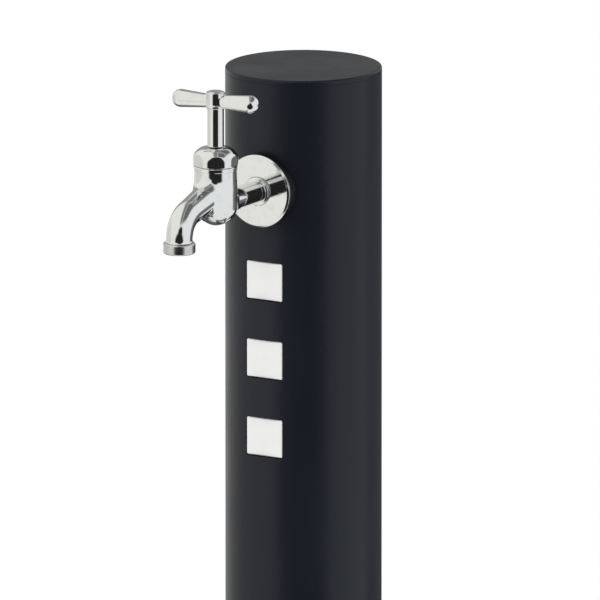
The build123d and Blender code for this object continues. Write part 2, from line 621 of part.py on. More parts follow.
def cover_nut():
    """The domed hexagon nut over the spindle's packing."""
    corner = (COVER_NUT_FLATS - 2 * COVER_NUT_CORNER_RADIUS) / sqrt(3) + COVER_NUT_CORNER_RADIUS
    bulge = (COVER_NUT_TOP - COVER_NUT_SHOULDER) / 5
    across = (corner + COVER_NUT_CROWN_RADIUS) / 2 + bulge
    height = (COVER_NUT_SHOULDER + COVER_NUT_TOP) / 2 + bulge
    crown = (COVER_NUT_CROWN_RADIUS, 0, COVER_NUT_TOP)
    dome = ThreePointArc((corner, 0, COVER_NUT_SHOULDER), (across, 0, height), crown)
    rest = outline(
        (COVER_NUT_CROWN_RADIUS, COVER_NUT_TOP),
        (0, COVER_NUT_TOP),
        (0, COVER_NUT_LOW),
        (corner - COVER_NUT_FOOT_CHAMFER, COVER_NUT_LOW),
        (corner, COVER_NUT_LOW + COVER_NUT_FOOT_CHAMFER),
        (corner, COVER_NUT_SHOULDER),
    )
    sides = hexagon(COVER_NUT_FLATS, COVER_NUT_LOW, COVER_NUT_TOP, COVER_NUT_TURN)
    nut = turned(dome, rest) & fillet(sides.edges().filter_by(Axis.Z), COVER_NUT_CORNER_RADIUS)
    thread = BODY_THREAD_RADIUS + THREAD_CLEARANCE
    nut -= rod_z(thread, COVER_NUT_LOW - OVERRUN, BODY_NECK_TOP + PACKING_ROOM)
    room = turned(
        outline(
            (0, BODY_NECK_TOP),
            (PACKING_SEAT_RADIUS + PACKING_ROOM, BODY_NECK_TOP),
            (PACKING_SEAT_RADIUS + PACKING_ROOM, PACKING_LOW + THREAD_CLEARANCE),
            (PACKING_BASE_RADIUS + PACKING_ROOM, PACKING_LOW + THREAD_CLEARANCE),
            (PACKING_TOP_RADIUS + PACKING_ROOM, PACKING_TOP + THREAD_CLEARANCE),
            (0, PACKING_TOP + THREAD_CLEARANCE),
            (0, BODY_NECK_TOP),
        )
    )
    return nut - room - rod_z(COVER_NUT_HOLE_RADIUS, 0, COVER_NUT_TOP + OVERRUN)


def packing_seat():
    """The brass washer on the casting's neck, under the packing."""
    inner = SPINDLE_STEM_RADIUS + 2 * RUNNING_CLEARANCE
    return ring_z(PACKING_SEAT_RADIUS, inner, BODY_NECK_TOP, PACKING_LOW)


def spindle_packing():
    """The rubber cone packing round the spindle."""
    inner = SPINDLE_STEM_RADIUS + RUNNING_CLEARANCE
    return turned(
        outline(
            (inner, PACKING_LOW),
            (PACKING_BASE_RADIUS, PACKING_LOW),
            (PACKING_TOP_RADIUS, PACKING_TOP),
            (inner, PACKING_TOP),
            (inner, PACKING_LOW),
        )
    )


def valve_jumper():
    """The loose valve piece: a disc with a stem that stands in the spindle, and a stud below."""
    disc = rod_z(JUMPER_DISC_RADIUS, JUMPER_LOW, JUMPER_TOP)
    stem = rod_z(JUMPER_STEM_RADIUS, JUMPER_TOP, JUMPER_TOP + JUMPER_STEM_LENGTH)
    stud = rod_z(JUMPER_STUD_RADIUS, JUMPER_LOW - JUMPER_STUD_LENGTH, JUMPER_LOW)
    return disc + stem + stud


def valve_washer():
    """The rubber washer that closes on the seat."""
    return ring_z(WASHER_RADIUS, JUMPER_STUD_RADIUS + THREAD_CLEARANCE, WASHER_LOW, JUMPER_LOW)


def washer_nut():
    """The small nut that holds the washer on the valve piece."""
    nut = hexagon(WASHER_NUT_FLATS, WASHER_LOW - WASHER_NUT_THICKNESS, WASHER_LOW)
    return nut - rod_z(JUMPER_STUD_RADIUS + THREAD_CLEARANCE, 0, WASHER_LOW + OVERRUN)


def spindle():
    """The spindle: nose, thread, stem and the end that carries the handle."""
    end_low = SPINDLE_TOP - SPINDLE_END_LENGTH
    body = turned(
        outline(
            (0, SPINDLE_LOW),
            (SPINDLE_NOSE_RADIUS, SPINDLE_LOW),
            (SPINDLE_NOSE_RADIUS, SPINDLE_THREAD_LOW),
            (SPINDLE_THREAD_RADIUS - SPINDLE_STEP_CHAMFER, SPINDLE_THREAD_LOW),
            (SPINDLE_THREAD_RADIUS, SPINDLE_THREAD_LOW + SPINDLE_STEP_CHAMFER),
            (SPINDLE_THREAD_RADIUS, SPINDLE_THREAD_TOP - SPINDLE_STEP_CHAMFER),
            (SPINDLE_THREAD_RADIUS - SPINDLE_STEP_CHAMFER, SPINDLE_THREAD_TOP),
            (SPINDLE_STEM_RADIUS, SPINDLE_THREAD_TOP),
            (SPINDLE_STEM_RADIUS, end_low),
            (SPINDLE_END_RADIUS, end_low),
            (SPINDLE_END_RADIUS, SPINDLE_TOP),
            (0, SPINDLE_TOP),
            (0, SPINDLE_LOW),
        )
    )
    socket_radius = JUMPER_STEM_RADIUS + RUNNING_CLEARANCE
    socket = rod_z(socket_radius, SPINDLE_LOW - OVERRUN, SPINDLE_LOW + SPINDLE_BORE_DEPTH)
    screw_low = SCREW_SEAT_Z - HANDLE_SCREW_LENGTH - OVERRUN
    screw_hole = rod_z(HANDLE_SCREW_RADIUS + THREAD_CLEARANCE, screw_low, SPINDLE_TOP + OVERRUN)
    return body - socket - screw_hole


def handle_arm():
    """One arm of the handle along +X: it widens to a round end."""
    tip_centre = HANDLE_HALF_LENGTH - HANDLE_TIP_RADIUS
    arm = Cone(HANDLE_ARM_RADIUS, HANDLE_TIP_RADIUS, tip_centre, align=STANDING)
    arm += Pos(0, 0, tip_centre) * Sphere(HANDLE_TIP_RADIUS)
    return Rot(0, 90, 0) * arm


def handle():
    """The T-handle: sleeve, ring, hub and two arms."""
    shape = rod_z(HANDLE_SLEEVE_RADIUS, HANDLE_SLEEVE_LOW, HANDLE_HUB_LOW)
    shape = chamfer(shape.edges().group_by(Axis.Z)[0], HANDLE_SLEEVE_CHAMFER)
    hub = rod_z(HANDLE_HUB_RADIUS, HANDLE_HUB_LOW, HANDLE_HUB_TOP)
    shape += fillet(hub.edges().group_by(Axis.Z)[-1], HANDLE_HUB_ROUNDING)
    half_ring = HANDLE_RING_HEIGHT / 2
    ring = rod_z(HANDLE_RING_RADIUS, HANDLE_HUB_LOW - half_ring, HANDLE_HUB_LOW + half_ring)
    shape += chamfer(ring.edges().filter_by(GeomType.CIRCLE), HANDLE_RING_HEIGHT / 4)
    for side in (0, 180):
        shape += Pos(0, 0, HANDLE_BAR_Z) * Rot(0, 0, side) * handle_arm()
    stem_top = SPINDLE_TOP - SPINDLE_END_LENGTH
    shape -= rod_z(SPINDLE_STEM_RADIUS + THREAD_CLEARANCE, HANDLE_SLEEVE_LOW - OVERRUN, stem_top)
    shape -= rod_z(SPINDLE_END_RADIUS + THREAD_CLEARANCE, stem_top - OVERRUN, SPINDLE_TOP)
    shape -= rod_z(HANDLE_SCREW_RADIUS + SCREW_CLEARANCE, SPINDLE_TOP - OVERRUN, SCREW_SEAT_Z + OVERRUN)
    shape -= rod_z(HUB_CAP_RADIUS + THREAD_CLEARANCE, SCREW_SEAT_Z, HANDLE_HUB_TOP + OVERRUN)
    return Rot(0, 0, HANDLE_TURN) * shape


def handle_screw():
    """The screw that holds the handle on the spindle, under the hub's cap."""
    screw = rod_z(HANDLE_SCREW_HEAD_RADIUS, SCREW_SEAT_Z, SCREW_SEAT_Z + HANDLE_SCREW_HEAD_HEIGHT)
    screw += rod_z(HANDLE_SCREW_RADIUS, SCREW_SEAT_Z - HANDLE_SCREW_LENGTH, SCREW_SEAT_Z)
    slot = Box(HANDLE_SCREW_HEAD_RADIUS * 2, SCREW_SLOT_WIDTH, SCREW_SLOT_DEPTH * 2)
    return screw - Pos(0, 0, SCREW_SEAT_Z + HANDLE_SCREW_HEAD_HEIGHT) * slot


def hub_cap():
    """The flat cap in the top of the hub."""
    top = HANDLE_HUB_TOP + HUB_CAP_PROUD
    cap = rod_z(HUB_CAP_RADIUS, top - HUB_CAP_THICKNESS, top)
    return fillet(cap.edges().group_by(Axis.Z)[-1], HUB_CAP_ROUNDING)


def save(shape, node):
    """Writes one node; a node of several solids is written as one compound."""
    if isinstance(shape, list):
        shape = Compound(children=shape)
    export_step(shape, f"parts/{node}.step")


def main():
    """Builds every node and writes it."""
    os.makedirs("parts", exist_ok=True)
    at_neck = Pos(0, 0, TAP_Z)
    save(post_tube(), "post_tube")
    save(foot_plate(), "foot_plate")
    save(top_cap(), "top_cap")
    save(cap_screws(), "cap_screws")
    for index, height in enumerate(tile_heights(), start=1):
        place = Pos(0, 0, height)
        save(place * glass_tile(), f"glass_tile_{index}")
        save(place * tile_bed(), f"tile_bed_{index}")
        save(place * tile_tray(), f"tile_tray_{index}")
    save(at_neck * outer_saddle(), "outer_saddle")
    save(at_neck * inner_saddle(), "inner_saddle")
    save(at_neck * lock_nut(), "lock_nut")
    save(at_neck * elbow_fitting(), "elbow_fitting")
    save(riser_pipe(), "riser_pipe")
    save(pipe_insulation(), "pipe_insulation")
    save(inlet_socket(), "inlet_socket")
    save(pipe_guide(), "pipe_guide")
    save(at_neck * escutcheon(), "escutcheon")
    tap_pieces = (
        tap_body,
        outlet_collar,
        outlet_seal,
        cover_nut,
        packing_seat,
        spindle_packing,
        valve_jumper,
        valve_washer,
        washer_nut,
        spindle,
        handle,
        handle_screw,
        hub_cap,
    )
    for piece in tap_pieces:
        save(on_tap(piece()), piece.__name__)


main()
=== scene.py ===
"""Garden standpipe: the post, its glass tiles and its tap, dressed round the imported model.

Sizes inside the functions are in millimetres; meshes are written in metres.
"""
import json
import math
from types import SimpleNamespace

import bmesh
import bpy
import numpy as np
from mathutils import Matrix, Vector

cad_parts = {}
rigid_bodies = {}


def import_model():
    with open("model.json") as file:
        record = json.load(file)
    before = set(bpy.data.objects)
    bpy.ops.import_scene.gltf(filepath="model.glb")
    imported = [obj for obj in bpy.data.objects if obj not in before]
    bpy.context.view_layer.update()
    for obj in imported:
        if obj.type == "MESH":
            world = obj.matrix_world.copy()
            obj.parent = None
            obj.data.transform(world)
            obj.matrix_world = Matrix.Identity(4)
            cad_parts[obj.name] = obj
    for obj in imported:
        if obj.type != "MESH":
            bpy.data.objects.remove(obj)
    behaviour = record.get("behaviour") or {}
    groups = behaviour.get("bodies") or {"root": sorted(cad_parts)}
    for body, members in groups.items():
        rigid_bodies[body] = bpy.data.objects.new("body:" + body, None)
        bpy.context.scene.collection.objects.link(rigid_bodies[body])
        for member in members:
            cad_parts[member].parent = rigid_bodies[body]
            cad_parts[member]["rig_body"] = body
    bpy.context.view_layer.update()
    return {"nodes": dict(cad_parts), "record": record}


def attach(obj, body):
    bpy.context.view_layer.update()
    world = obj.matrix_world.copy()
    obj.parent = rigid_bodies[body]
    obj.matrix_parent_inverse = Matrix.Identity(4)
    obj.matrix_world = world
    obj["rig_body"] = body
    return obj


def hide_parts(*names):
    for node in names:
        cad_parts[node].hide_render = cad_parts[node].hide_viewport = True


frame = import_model()

bl_info = {
    "name": "Garden standpipe",
    "version": (1, 0, 0),
    "blender": (4, 5, 0),
    "location": "3D View > Sidebar > Standpipe",
    "description": "Builds a garden standpipe with glass tiles and a T-handled tap",
    "category": "Object",
}

MM = 0.001
FULL_TURN, QUARTER_TURN = 2 * math.pi, math.pi / 2
AXIS_Z = ((1, 0, 0), (0, 1, 0), (0, 0, 1))
AXIS_FORWARD = ((1, 0, 0), (0, 0, 1), (0, -1, 0))
AXIS_RIGHT = ((0, 1, 0), (0, 0, 1), (1, 0, 0))

# Sizes that no setting changes, in millimetres. Heights on the tap are from its neck's axis.
FLANGE_THICKNESS, FLANGE_BORE, FLANGE_RIM, FLANGE_BEVEL = 3.0, 10.63, 1.8, 1.3
PIPE_THREAD = {"outer": 10.478, "depth": 1.16, "pitch": 1.814}
PIPE_THREAD_LENGTH, PIPE_THREAD_SETBACK = 21, 3.7
SPOUT_STRAIGHT = 10  # from the outlet up to the bend
CHAMBER_TAPER, CHAMBER_END = 26.5, 27.4  # where it has narrowed, and where its wall ends inside the rim
UPPER_BORE, LOWER_BORE, SPOUT_WAY, INLET_WAY = 8.3, 8, 5.5, 5
NUT_THREAD, NUT_THREAD_RADIUS = 8.2, 11  # height above the chamber's rim, and radius
NUT_CROWN = 7.2  # radius of the flat on top of the cover nut
PACKING_CONE, PACKING_RADIUS, SPINDLE_HOLE = 39.25, 8.3, 4.5
COLLAR_BORE, COLLAR_FLOOR = 9.55, 1.1
HANDLE_LOW = 44.0
HANDLE_BORE = ((4.05, 66.4), (3.75, 78.4), (2.15, 80))  # radius and top of each step
CAP_RECESS = (5.65, 79.6)  # radius and floor
# Radius and front of each loop of the saddle; None follows the post.
SADDLE_LOOPS = (
    (25.0, None), (25.0, 61.5), (24.7, 62.1), (24.2, 62.3), (18.9, 62.3), (18.9, 59.05), (13.6, 59.05),
    (13.6, None),
)
POST_SIDES = 288
FEWEST_FACES = 300  # a tube with fewer has failed
CAP_PLAY, CAP_WALL, CAP_DEPTH = 0.15, 3, 16
CAP_SCREW = (3.8, 2.2, 2, 7)  # radius and height of the head, radius and length of the shank
SLOT_CORNERS = ((0.5, -5), (0.5, 5), (-0.5, 5), (-0.5, -5))
SCREW_CREASE = 35  # degrees
BEAD_PLAY = 0.03  # between a sealant bead and what it lies against
NOSE_RADIUS, NOSE_LOW, NOSE_TOP = 9.5, 2.2, 8.6  # the thread under the outlet's collar
HUB_CAP_RADIUS, HUB_CAP_DEPTH = 5.6, 1.5
CASTING_CELL, NUT_CELL, HANDLE_CELL = 0.55, 0.32, 0.4  # grid steps of the distance fields
NUT_BOX = ((-17.9, -17.9, 29.2), (17.9, 17.9, 44.2))
FLOOR_HALF, LIGHT_TARGET = 40.0, 1.05  # metres


# Settings

def linear(code):
    """The linear colour of an sRGB hex value."""
    parts = [int(code[place:place + 2], 16) / 255 for place in (1, 3, 5)]
    return tuple(part / 12.92 if part <= 0.04045 else ((part + 0.055) / 1.055) ** 2.4 for part in parts)


def length(name, about, millimetres):
    """A length setting, with its default given in millimetres."""
    return bpy.props.FloatProperty(
        name=name, description=about, default=millimetres * MM, precision=5, subtype="DISTANCE", unit="LENGTH"
    )


def angle(name, about, degrees):
    """An angle setting, with its default given in degrees."""
    return bpy.props.FloatProperty(
        name=name, description=about, default=math.radians(degrees), subtype="ANGLE", unit="ROTATION"
    )


def colour(name, about, code):
    """A colour setting, with its default given as an sRGB hex value."""
    return bpy.props.FloatVectorProperty(
        name=name, description=about, default=linear(code), size=3, min=0, max=1, subtype="COLOR"
    )


class StandpipePostSettings(bpy.types.PropertyGroup):
    """Sizes of the post and of what is let into it."""
    radius: length("Radius", "Outside radius of the tube", 57.15)
    wall: length("Wall", "Thickness of the tube's wall", 3.0)
    tube_top: length("Tube top", "Height of the tube under the cap", 1196.0)
    cap_top: length("Cap top", "Height of the whole post", 1200.0)
    tap_height: length("Tap height", "Height of the tap's neck", 1118.0)
    tap_hole: length("Tap hole", "Radius of the hole behind the flange", 13.6)
    tile_width: length("Tile width", "Width of a glass tile", 30.0)
    tile_height: length("Tile height", "Height of a glass tile", 28.0)
    tile_depth: length("Tile depth", "Thickness of a glass tile", 8.0)
    tile_pitch: length("Tile pitch", "Distance from one tile to the next", 58.2)
    first_tile_drop: length("First tile drop", "From the tap's neck down to the first tile", 68.6)
    tile_corner: length("Tile corner", "Corner radius of a tile", 1.2)
    tile_arris: length("Tile arris", "Width of the polished bevel round the face", 0.5)
    tile_joint: length("Tile joint", "Gap between a tile and the tube", 0.6)
    tile_count: bpy.props.IntProperty(name="Tiles", description="Number of tiles", default=3, min=1, max=8)
    window_width: length("Window width", "Width of the opening at the back", 40.0)
    window_height: length("Window height", "Height of the opening at the back", 48.0)
    window_low: length("Window low", "Lower edge of the opening at the back", 12.0)
    window_corner: length("Window corner", "Corner radius of the opening at the back", 12.0)
    anchor_height: length("Anchor height", "Height of the cross hole", 60.0)
    anchor_radius: length("Anchor radius", "Radius of the cross hole", 5.5)
    screw_angle: angle("Screw angle", "From the right round to the first cap screw", 50.0)


class StandpipeTapSettings(bpy.types.PropertyGroup):
    """Sizes of the tap, from its handle axis and the height of its neck."""
    reach: length("Reach", "From the post's axis to the handle's axis", 122.6)
    flange_front: length("Flange front", "From the post's axis to the flange's face", 65.3)
    flange_radius: length("Flange radius", "Outside radius of the flange", 26.8)
    belly_radius: length("Belly radius", "Widest radius of the chamber", 15.8)
    belly_depth: length("Belly depth", "From the neck's axis down to the lowest point of the chamber", 13.6)
    body_top_radius: length("Body top radius", "Radius of the chamber under its rim", 15.5)
    body_top: length("Body top", "Height of the chamber's rim", 29.8)
    rim_radius: length("Rim radius", "Radius of the chamber's rim", 15.9)
    neck_radius: length("Neck radius", "Radius of the neck's plain part", 8.2)
    neck_root_radius: length("Neck root radius", "Radius of the neck at the chamber", 11.4)
    spout_reach: length("Spout reach", "From the handle's axis to the outlet's axis", 50.4)
    spout_radius: length("Spout radius", "Radius of the spout in its bend", 9.6)
    spout_root_radius: length("Spout root radius", "Radius of the spout at the chamber", 11.6)
    spout_fall: angle("Spout fall", "How steeply the spout leaves the chamber", 15.0)
    bend_radius: length("Bend radius", "Radius of the spout's bend", 18.0)
    outlet_drop: length("Outlet drop", "From the neck's axis down to the outlet", 26.0)
    collar_radius: length("Collar radius", "Outside radius of the outlet's collar", 11.75)
    collar_height: length("Collar height", "Height of the outlet's collar", 8.0)
    blend: length("Blend", "Radius of the fillets between the chamber, the neck and the spout", 5.5)
    nut_flats: length("Nut flats", "Width of the cover nut across its flats", 30.8)
    nut_turn: angle("Nut turn", "How far the cover nut is turned", -26.0)
    nut_corner: length("Nut corner", "Radius of the cover nut's corners", 8.0)
    nut_top: length("Nut top", "Height of the cover nut's crown", 43.5)
    nut_shoulder: length("Nut shoulder", "Height at which the cover nut's dome starts", 34.6)
    handle_turn: angle("Handle turn", "How far the handle is turned in the closed position", 6.0)
    bar_height: length("Bar height", "Height of the handle's arms", 77.2)
    bar_half_length: length("Bar half length", "From the handle's axis to the end of an arm", 34.2)
    arm_radius: length("Arm radius", "Radius of an arm at the hub", 4.5)
    tip_radius: length("Tip radius", "Radius of an arm's round end", 6.6)
    hub_radius: length("Hub radius", "Radius of the handle's hub", 6.8)
    hub_top: length("Hub top", "Height of the handle's hub", 84.2)
    hub_low: length("Hub low", "Height of the middle of the bead under the hub", 73.6)
    bead_height: length("Bead height", "Height of the bead under the hub", 2.6)
    sleeve_radius: length("Sleeve radius", "Radius of the handle's sleeve", 6.1)


class StandpipeFinishSettings(bpy.types.PropertyGroup):
    """Colours of the finishes."""
    coat: colour("Coat", "Powder coat of the post", "#161A23")
    glass: colour("Glass", "Opaque white glass of the tiles", "#EFEFEE")
    chrome: colour("Chrome", "Chrome plate of the tap", "#E5E6E5")
    sealant: colour("Sealant", "Black sealant round the tiles", "#151515")
    plastic: colour("Plastic", "Moulded black plastic", "#0E0F10")
    brass: colour("Brass", "Turned brass fittings", "#D9B56A")
    steel: colour("Steel", "Stainless screws", "#C9CACB")
    pipe: colour("Pipe", "Riser pipe", "#3A3F47")
    foam: colour("Foam", "Insulation round the riser", "#8B8D8C")
    rubber: colour("Rubber", "Seals and packing", "#191919")
    floor: colour("Floor", "Studio floor", "#F4F4F3")


def in_millimetres(group):
    """The settings of a group, with its lengths in millimetres."""
    def value(name):
        plain = getattr(group, name)
        return plain / MM if group.bl_rna.properties[name].subtype == "DISTANCE" else plain

    return SimpleNamespace(**{name: value(name) for name in type(group).__annotations__})


def settings_of(context):
    """The post's and the tap's settings, with lengths in millimetres."""
    return in_millimetres(context.scene.standpipe_post), in_millimetres(context.scene.standpipe_tap)


# Nodes and materials

def add_node(tree, kind, settings=None, inputs=None):
    """Adds a node, applies its settings, and sets or links its inputs by name or number."""
    node = tree.nodes.new(kind)
    for key, value in (settings or {}).items():
        setattr(node, key, value)
    for key, value in (inputs or {}).items():
        if isinstance(value, bpy.types.NodeSocket):
            tree.links.new(value, node.inputs[key])
        else:
            node.inputs[key].default_value = value
    return node


def maths(tree, operation, *values):
    """One step of arithmetic on sockets or numbers."""
    return add_node(tree, "ShaderNodeMath", {"operation": operation}, dict(enumerate(values))).outputs[0]


def spread(tree, value, low, high, to_low=0.0, to_high=1.0, kind="LINEAR"):
    """Maps a value from one range to another, held at the ends."""
    return add_node(
        tree, "ShaderNodeMapRange", {"clamp": True, "interpolation_type": kind},
        {"Value": value, "From Min": low, "From Max": high, "To Min": to_low, "To Max": to_high},
    ).outputs[0]


def mixed(tree, factor, first, second):
    """A colour between two, by a factor."""
    sockets = {
        number: value if isinstance(value, bpy.types.NodeSocket) else (*value[:3], 1)
        for number, value in ((6, first), (7, second))
    }
    return add_node(tree, "ShaderNodeMix", {"data_type": "RGBA"}, {0: factor, **sockets}).outputs[2]


def tinted(rgb, factor):
    """A colour made lighter or darker."""
    return tuple(min(1.0, part * factor) for part in rgb)


def empty_tree(owner):
    """The cleared node tree of a material or world."""
    owner.use_nodes = True
    owner.node_tree.nodes.clear()
    return owner.node_tree


class Finish:
    """A material in the making: one shader, textured by the place on the object."""

    def __init__(self, name, settings):
        self.material = bpy.data.materials.new(name)
        self.tree = empty_tree(self.material)
        self.shader = add_node(self.tree, "ShaderNodeBsdfPrincipled", inputs=settings)
        add_node(self.tree, "ShaderNodeOutputMaterial", inputs={"Surface": self.shader.outputs[0]})
        self.place = add_node(self.tree, "ShaderNodeTexCoord").outputs["Object"]

    def noise(self, millimetres, detail=2.0, stretch=(1, 1, 1), seed=0.0):
        """Noise whose largest cells are about this many millimetres across, stretched along some axes."""
        mapped = add_node(self.tree, "ShaderNodeMapping", inputs={
            "Vector": self.place, "Location": (seed, seed, seed),
            "Scale": [1 / (factor * millimetres * MM) for factor in stretch],
        })
        return add_node(self.tree, "ShaderNodeTexNoise", inputs={
            "Vector": mapped.outputs[0], "Scale": 1.0, "Detail": detail,
        }).outputs[0]

    def cells(self, millimetres):
        """Round cells about this many millimetres across."""
        return add_node(self.tree, "ShaderNodeTexVoronoi", inputs={
            "Vector": self.place, "Scale": 1 / (millimetres * MM),
        }).outputs[0]

    def spread(self, value, low, high, to_low=0.0, to_high=1.0):
        return spread(self.tree, value, low, high, to_low, to_high)

    def colour(self, factor, first, second):
        """Sets the colour between two, by a factor."""
        self.tree.links.new(mixed(self.tree, factor, first, second), self.shader.inputs["Base Color"])

    def rough(self, value, low, high, to_low, to_high):
        """Sets the roughness from a value's range."""
        self.tree.links.new(self.spread(value, low, high, to_low, to_high), self.shader.inputs["Roughness"])

    def bump(self, height, millimetres):
        """Raises the surface by a height that goes from 0 to 1 over this many millimetres."""
        bump = add_node(self.tree, "ShaderNodeBump", inputs={
            "Height": height, "Distance": millimetres * MM, "Strength": 1.0,
        })
        self.tree.links.new(bump.outputs[0], self.shader.inputs["Normal"])


def powder_coat(rgb):
    """Steel with a baked polyester powder coat, satin: an even dark film with the faint orange peel
    of flowed powder, dust lying a little lighter on it here and there."""
    finish = Finish("powder_coated_steel", {"IOR": 1.5, "Specular IOR Level": 0.26})
    clouds = finish.spread(finish.noise(60, 3, (1, 1, 2.5)), 0.35, 0.7)
    film = mixed(finish.tree, clouds, tinted(rgb, 0.92), tinted(rgb, 1.1))
    finish.colour(finish.spread(finish.noise(1.2, 1), 0.62, 0.8, 0, 0.25), film, tinted(rgb, 1.8))
    finish.rough(finish.noise(35, 4, (1, 1, 3), 7), 0.3, 0.7, 0.30, 0.38)
    finish.bump(finish.noise(3.2, 1.5, (1.6, 1.6, 1), 3), 0.11)
    return finish.material


def opal_glass(rgb):
    """Opaque white glass, cast and fire-polished: a glossy skin over a milky body, with a hardly
    visible waviness and cloudiness."""
    finish = Finish("opal_glass", {"Metallic": 0.0, "IOR": 1.5, "Coat Weight": 0.5, "Coat Roughness": 0.03})
    finish.colour(finish.spread(finish.noise(14, 3), 0.3, 0.7), tinted(rgb, 0.965), rgb)
    finish.rough(finish.noise(9, 3, seed=5), 0.4, 0.75, 0.07, 0.14)
    finish.bump(finish.noise(11, 1, seed=2), 0.03)
    return finish.material


def chrome_plate(rgb):
    """Cast brass, polished and chrome plated: a mirror finish that is slightly wavy from the polishing
    wheel, with fine hairlines and a few dried water marks that dull it."""
    finish = Finish("chrome_plate_on_brass", {"Metallic": 1.0})
    dull = finish.spread(finish.noise(5, 4, seed=11), 0.52, 0.72)
    finish.colour(dull, rgb, tinted(rgb, 0.93))
    base = finish.spread(finish.noise(0.5, 2, (1, 1, 14), 4), 0.35, 0.7, 0.045, 0.085)
    worn = maths(finish.tree, "MULTIPLY_ADD", dull, 0.05, base)
    finish.tree.links.new(worn, finish.shader.inputs["Roughness"])
    finish.bump(finish.noise(9, 1.5, seed=8), 0.018)
    return finish.material


def satin_chrome(rgb):
    """Chrome plate over a brushed ring: the same metal, its mirror spread into soft grey bands by fine
    upright brush lines, and its colour painted darker than the plate's as painted shade."""
    finish = Finish("satin_chrome_on_brass", {"Metallic": 1.0})
    marks = finish.noise(5, 4, seed=11)
    # painted shade: the ring's colour is held at 0.7 to 0.8 of the chrome's, so the same metal reads greyer
    # than the plate
    finish.colour(finish.spread(marks, 0.45, 0.75), tinted(rgb, 0.8), tinted(rgb, 0.7))
    finish.rough(marks, 0.3, 0.7, 0.2, 0.27)
    finish.bump(finish.noise(0.5, 1, (1, 1, 10), 4), 0.02)
    return finish.material


def sealant_bead(rgb):
    """Black silicone sealant, tooled: rubbery, smooth and slightly uneven."""
    finish = Finish("black_silicone_sealant", {"IOR": 1.41})
    film = finish.noise(4, 3)
    finish.colour(film, tinted(rgb, 0.7), tinted(rgb, 1.3))
    finish.rough(film, 0.3, 0.7, 0.38, 0.5)
    finish.bump(finish.noise(2.5, 2, seed=1), 0.08)
    return finish.material


def moulded_plastic(rgb):
    """Glass-filled nylon, moulded in a spark-eroded tool: matte, with a fine even grain."""
    finish = Finish("moulded_black_nylon", {"IOR": 1.53, "Specular IOR Level": 0.2})
    flow = finish.noise(16, 3)
    finish.colour(flow, tinted(rgb, 0.85), tinted(rgb, 1.2))
    finish.rough(flow, 0.3, 0.7, 0.5, 0.6)
    finish.bump(finish.cells(0.5), 0.03)
    return finish.material


def turned_brass(rgb):
    """Free-cutting brass from the lathe: warm metal with close tool rings and a slight tarnish."""
    finish = Finish("turned_brass", {"Metallic": 1.0})
    tarnish = finish.noise(12, 4)
    finish.colour(finish.spread(tarnish, 0.4, 0.75, 0, 0.7), rgb, tinted(rgb, 0.6))
    finish.rough(tarnish, 0.3, 0.7, 0.22, 0.36)
    finish.bump(finish.noise(0.4, 1, (30, 30, 1), 2), 0.02)
    return finish.material


def stainless_steel(rgb):
    """Stainless steel, cold headed and tumbled: grey metal with a fine cloudy scuff."""
    finish = Finish("stainless_steel", {"Metallic": 1.0})
    scuff = finish.noise(1.5, 4)
    finish.colour(scuff, tinted(rgb, 0.8), rgb)
    finish.rough(scuff, 0.3, 0.7, 0.2, 0.4)
    finish.bump(finish.noise(0.6, 2, seed=6), 0.012)
    return finish.material


def drawn_pipe(rgb):
    """Polyethylene pipe, extruded: waxy and dark, with faint die lines along it."""
    finish = Finish("extruded_polyethylene", {"IOR": 1.51})
    lines = finish.noise(0.8, 2, (1, 1, 120))
    finish.colour(lines, tinted(rgb, 0.85), tinted(rgb, 1.15))
    finish.rough(lines, 0.3, 0.7, 0.36, 0.46)
    finish.bump(lines, 0.03)
    return finish.material


def closed_foam(rgb):
    """Polyethylene foam, closed cell: matte grey skin with small burst bubbles, painted darker in their
    hollows as painted shade.
    """
    finish = Finish("closed_cell_foam", {"IOR": 1.45, "Roughness": 0.85})
    bubbles = finish.cells(1.6)
    # painted shade: each bubble is darkest at its middle, where the bump makes its pit deepest
    finish.colour(finish.spread(bubbles, 0.0, 0.5, 1, 0), rgb, tinted(rgb, 0.7))
    finish.bump(bubbles, 0.35)
    return finish.material


def seal_rubber(rgb):
    """Nitrile rubber, moulded: black and dense, with a faint grey bloom."""
    finish = Finish("nitrile_rubber", {"IOR": 1.52})
    bloom = finish.noise(5, 4)
    finish.colour(bloom, tinted(rgb, 0.7), tinted(rgb, 1.6))
    finish.rough(bloom, 0.3, 0.7, 0.55, 0.7)
    finish.bump(finish.noise(0.7, 2, seed=9), 0.03)
    return finish.material


FINISHES = {
    "post_finish": (powder_coat, "coat"),
    "tile_glass": (opal_glass, "glass"),
    "chrome_plate": (chrome_plate, "chrome"),
    "chrome_ring": (satin_chrome, "chrome"),
    "adhesive": (sealant_bead, "sealant"),
    "black_plastic": (moulded_plastic, "plastic"),
    "brass_fitting": (turned_brass, "brass"),
    "screw_steel": (stainless_steel, "steel"),
    "pipe_plastic": (drawn_pipe, "pipe"),
    "foam": (closed_foam, "foam"),
    "seal_rubber": (seal_rubber, "rubber"),
}
made_finishes = {}


def finish_for(slot):
    """The material of a slot, made once."""
    if slot not in made_finishes:
        maker, setting = FINISHES[slot]
        made_finishes[slot] = maker(tuple(getattr(bpy.context.scene.standpipe_finish, setting)))
    return made_finishes[slot]


# Shells: vertices in millimetres, faces, and one normal for each vertex

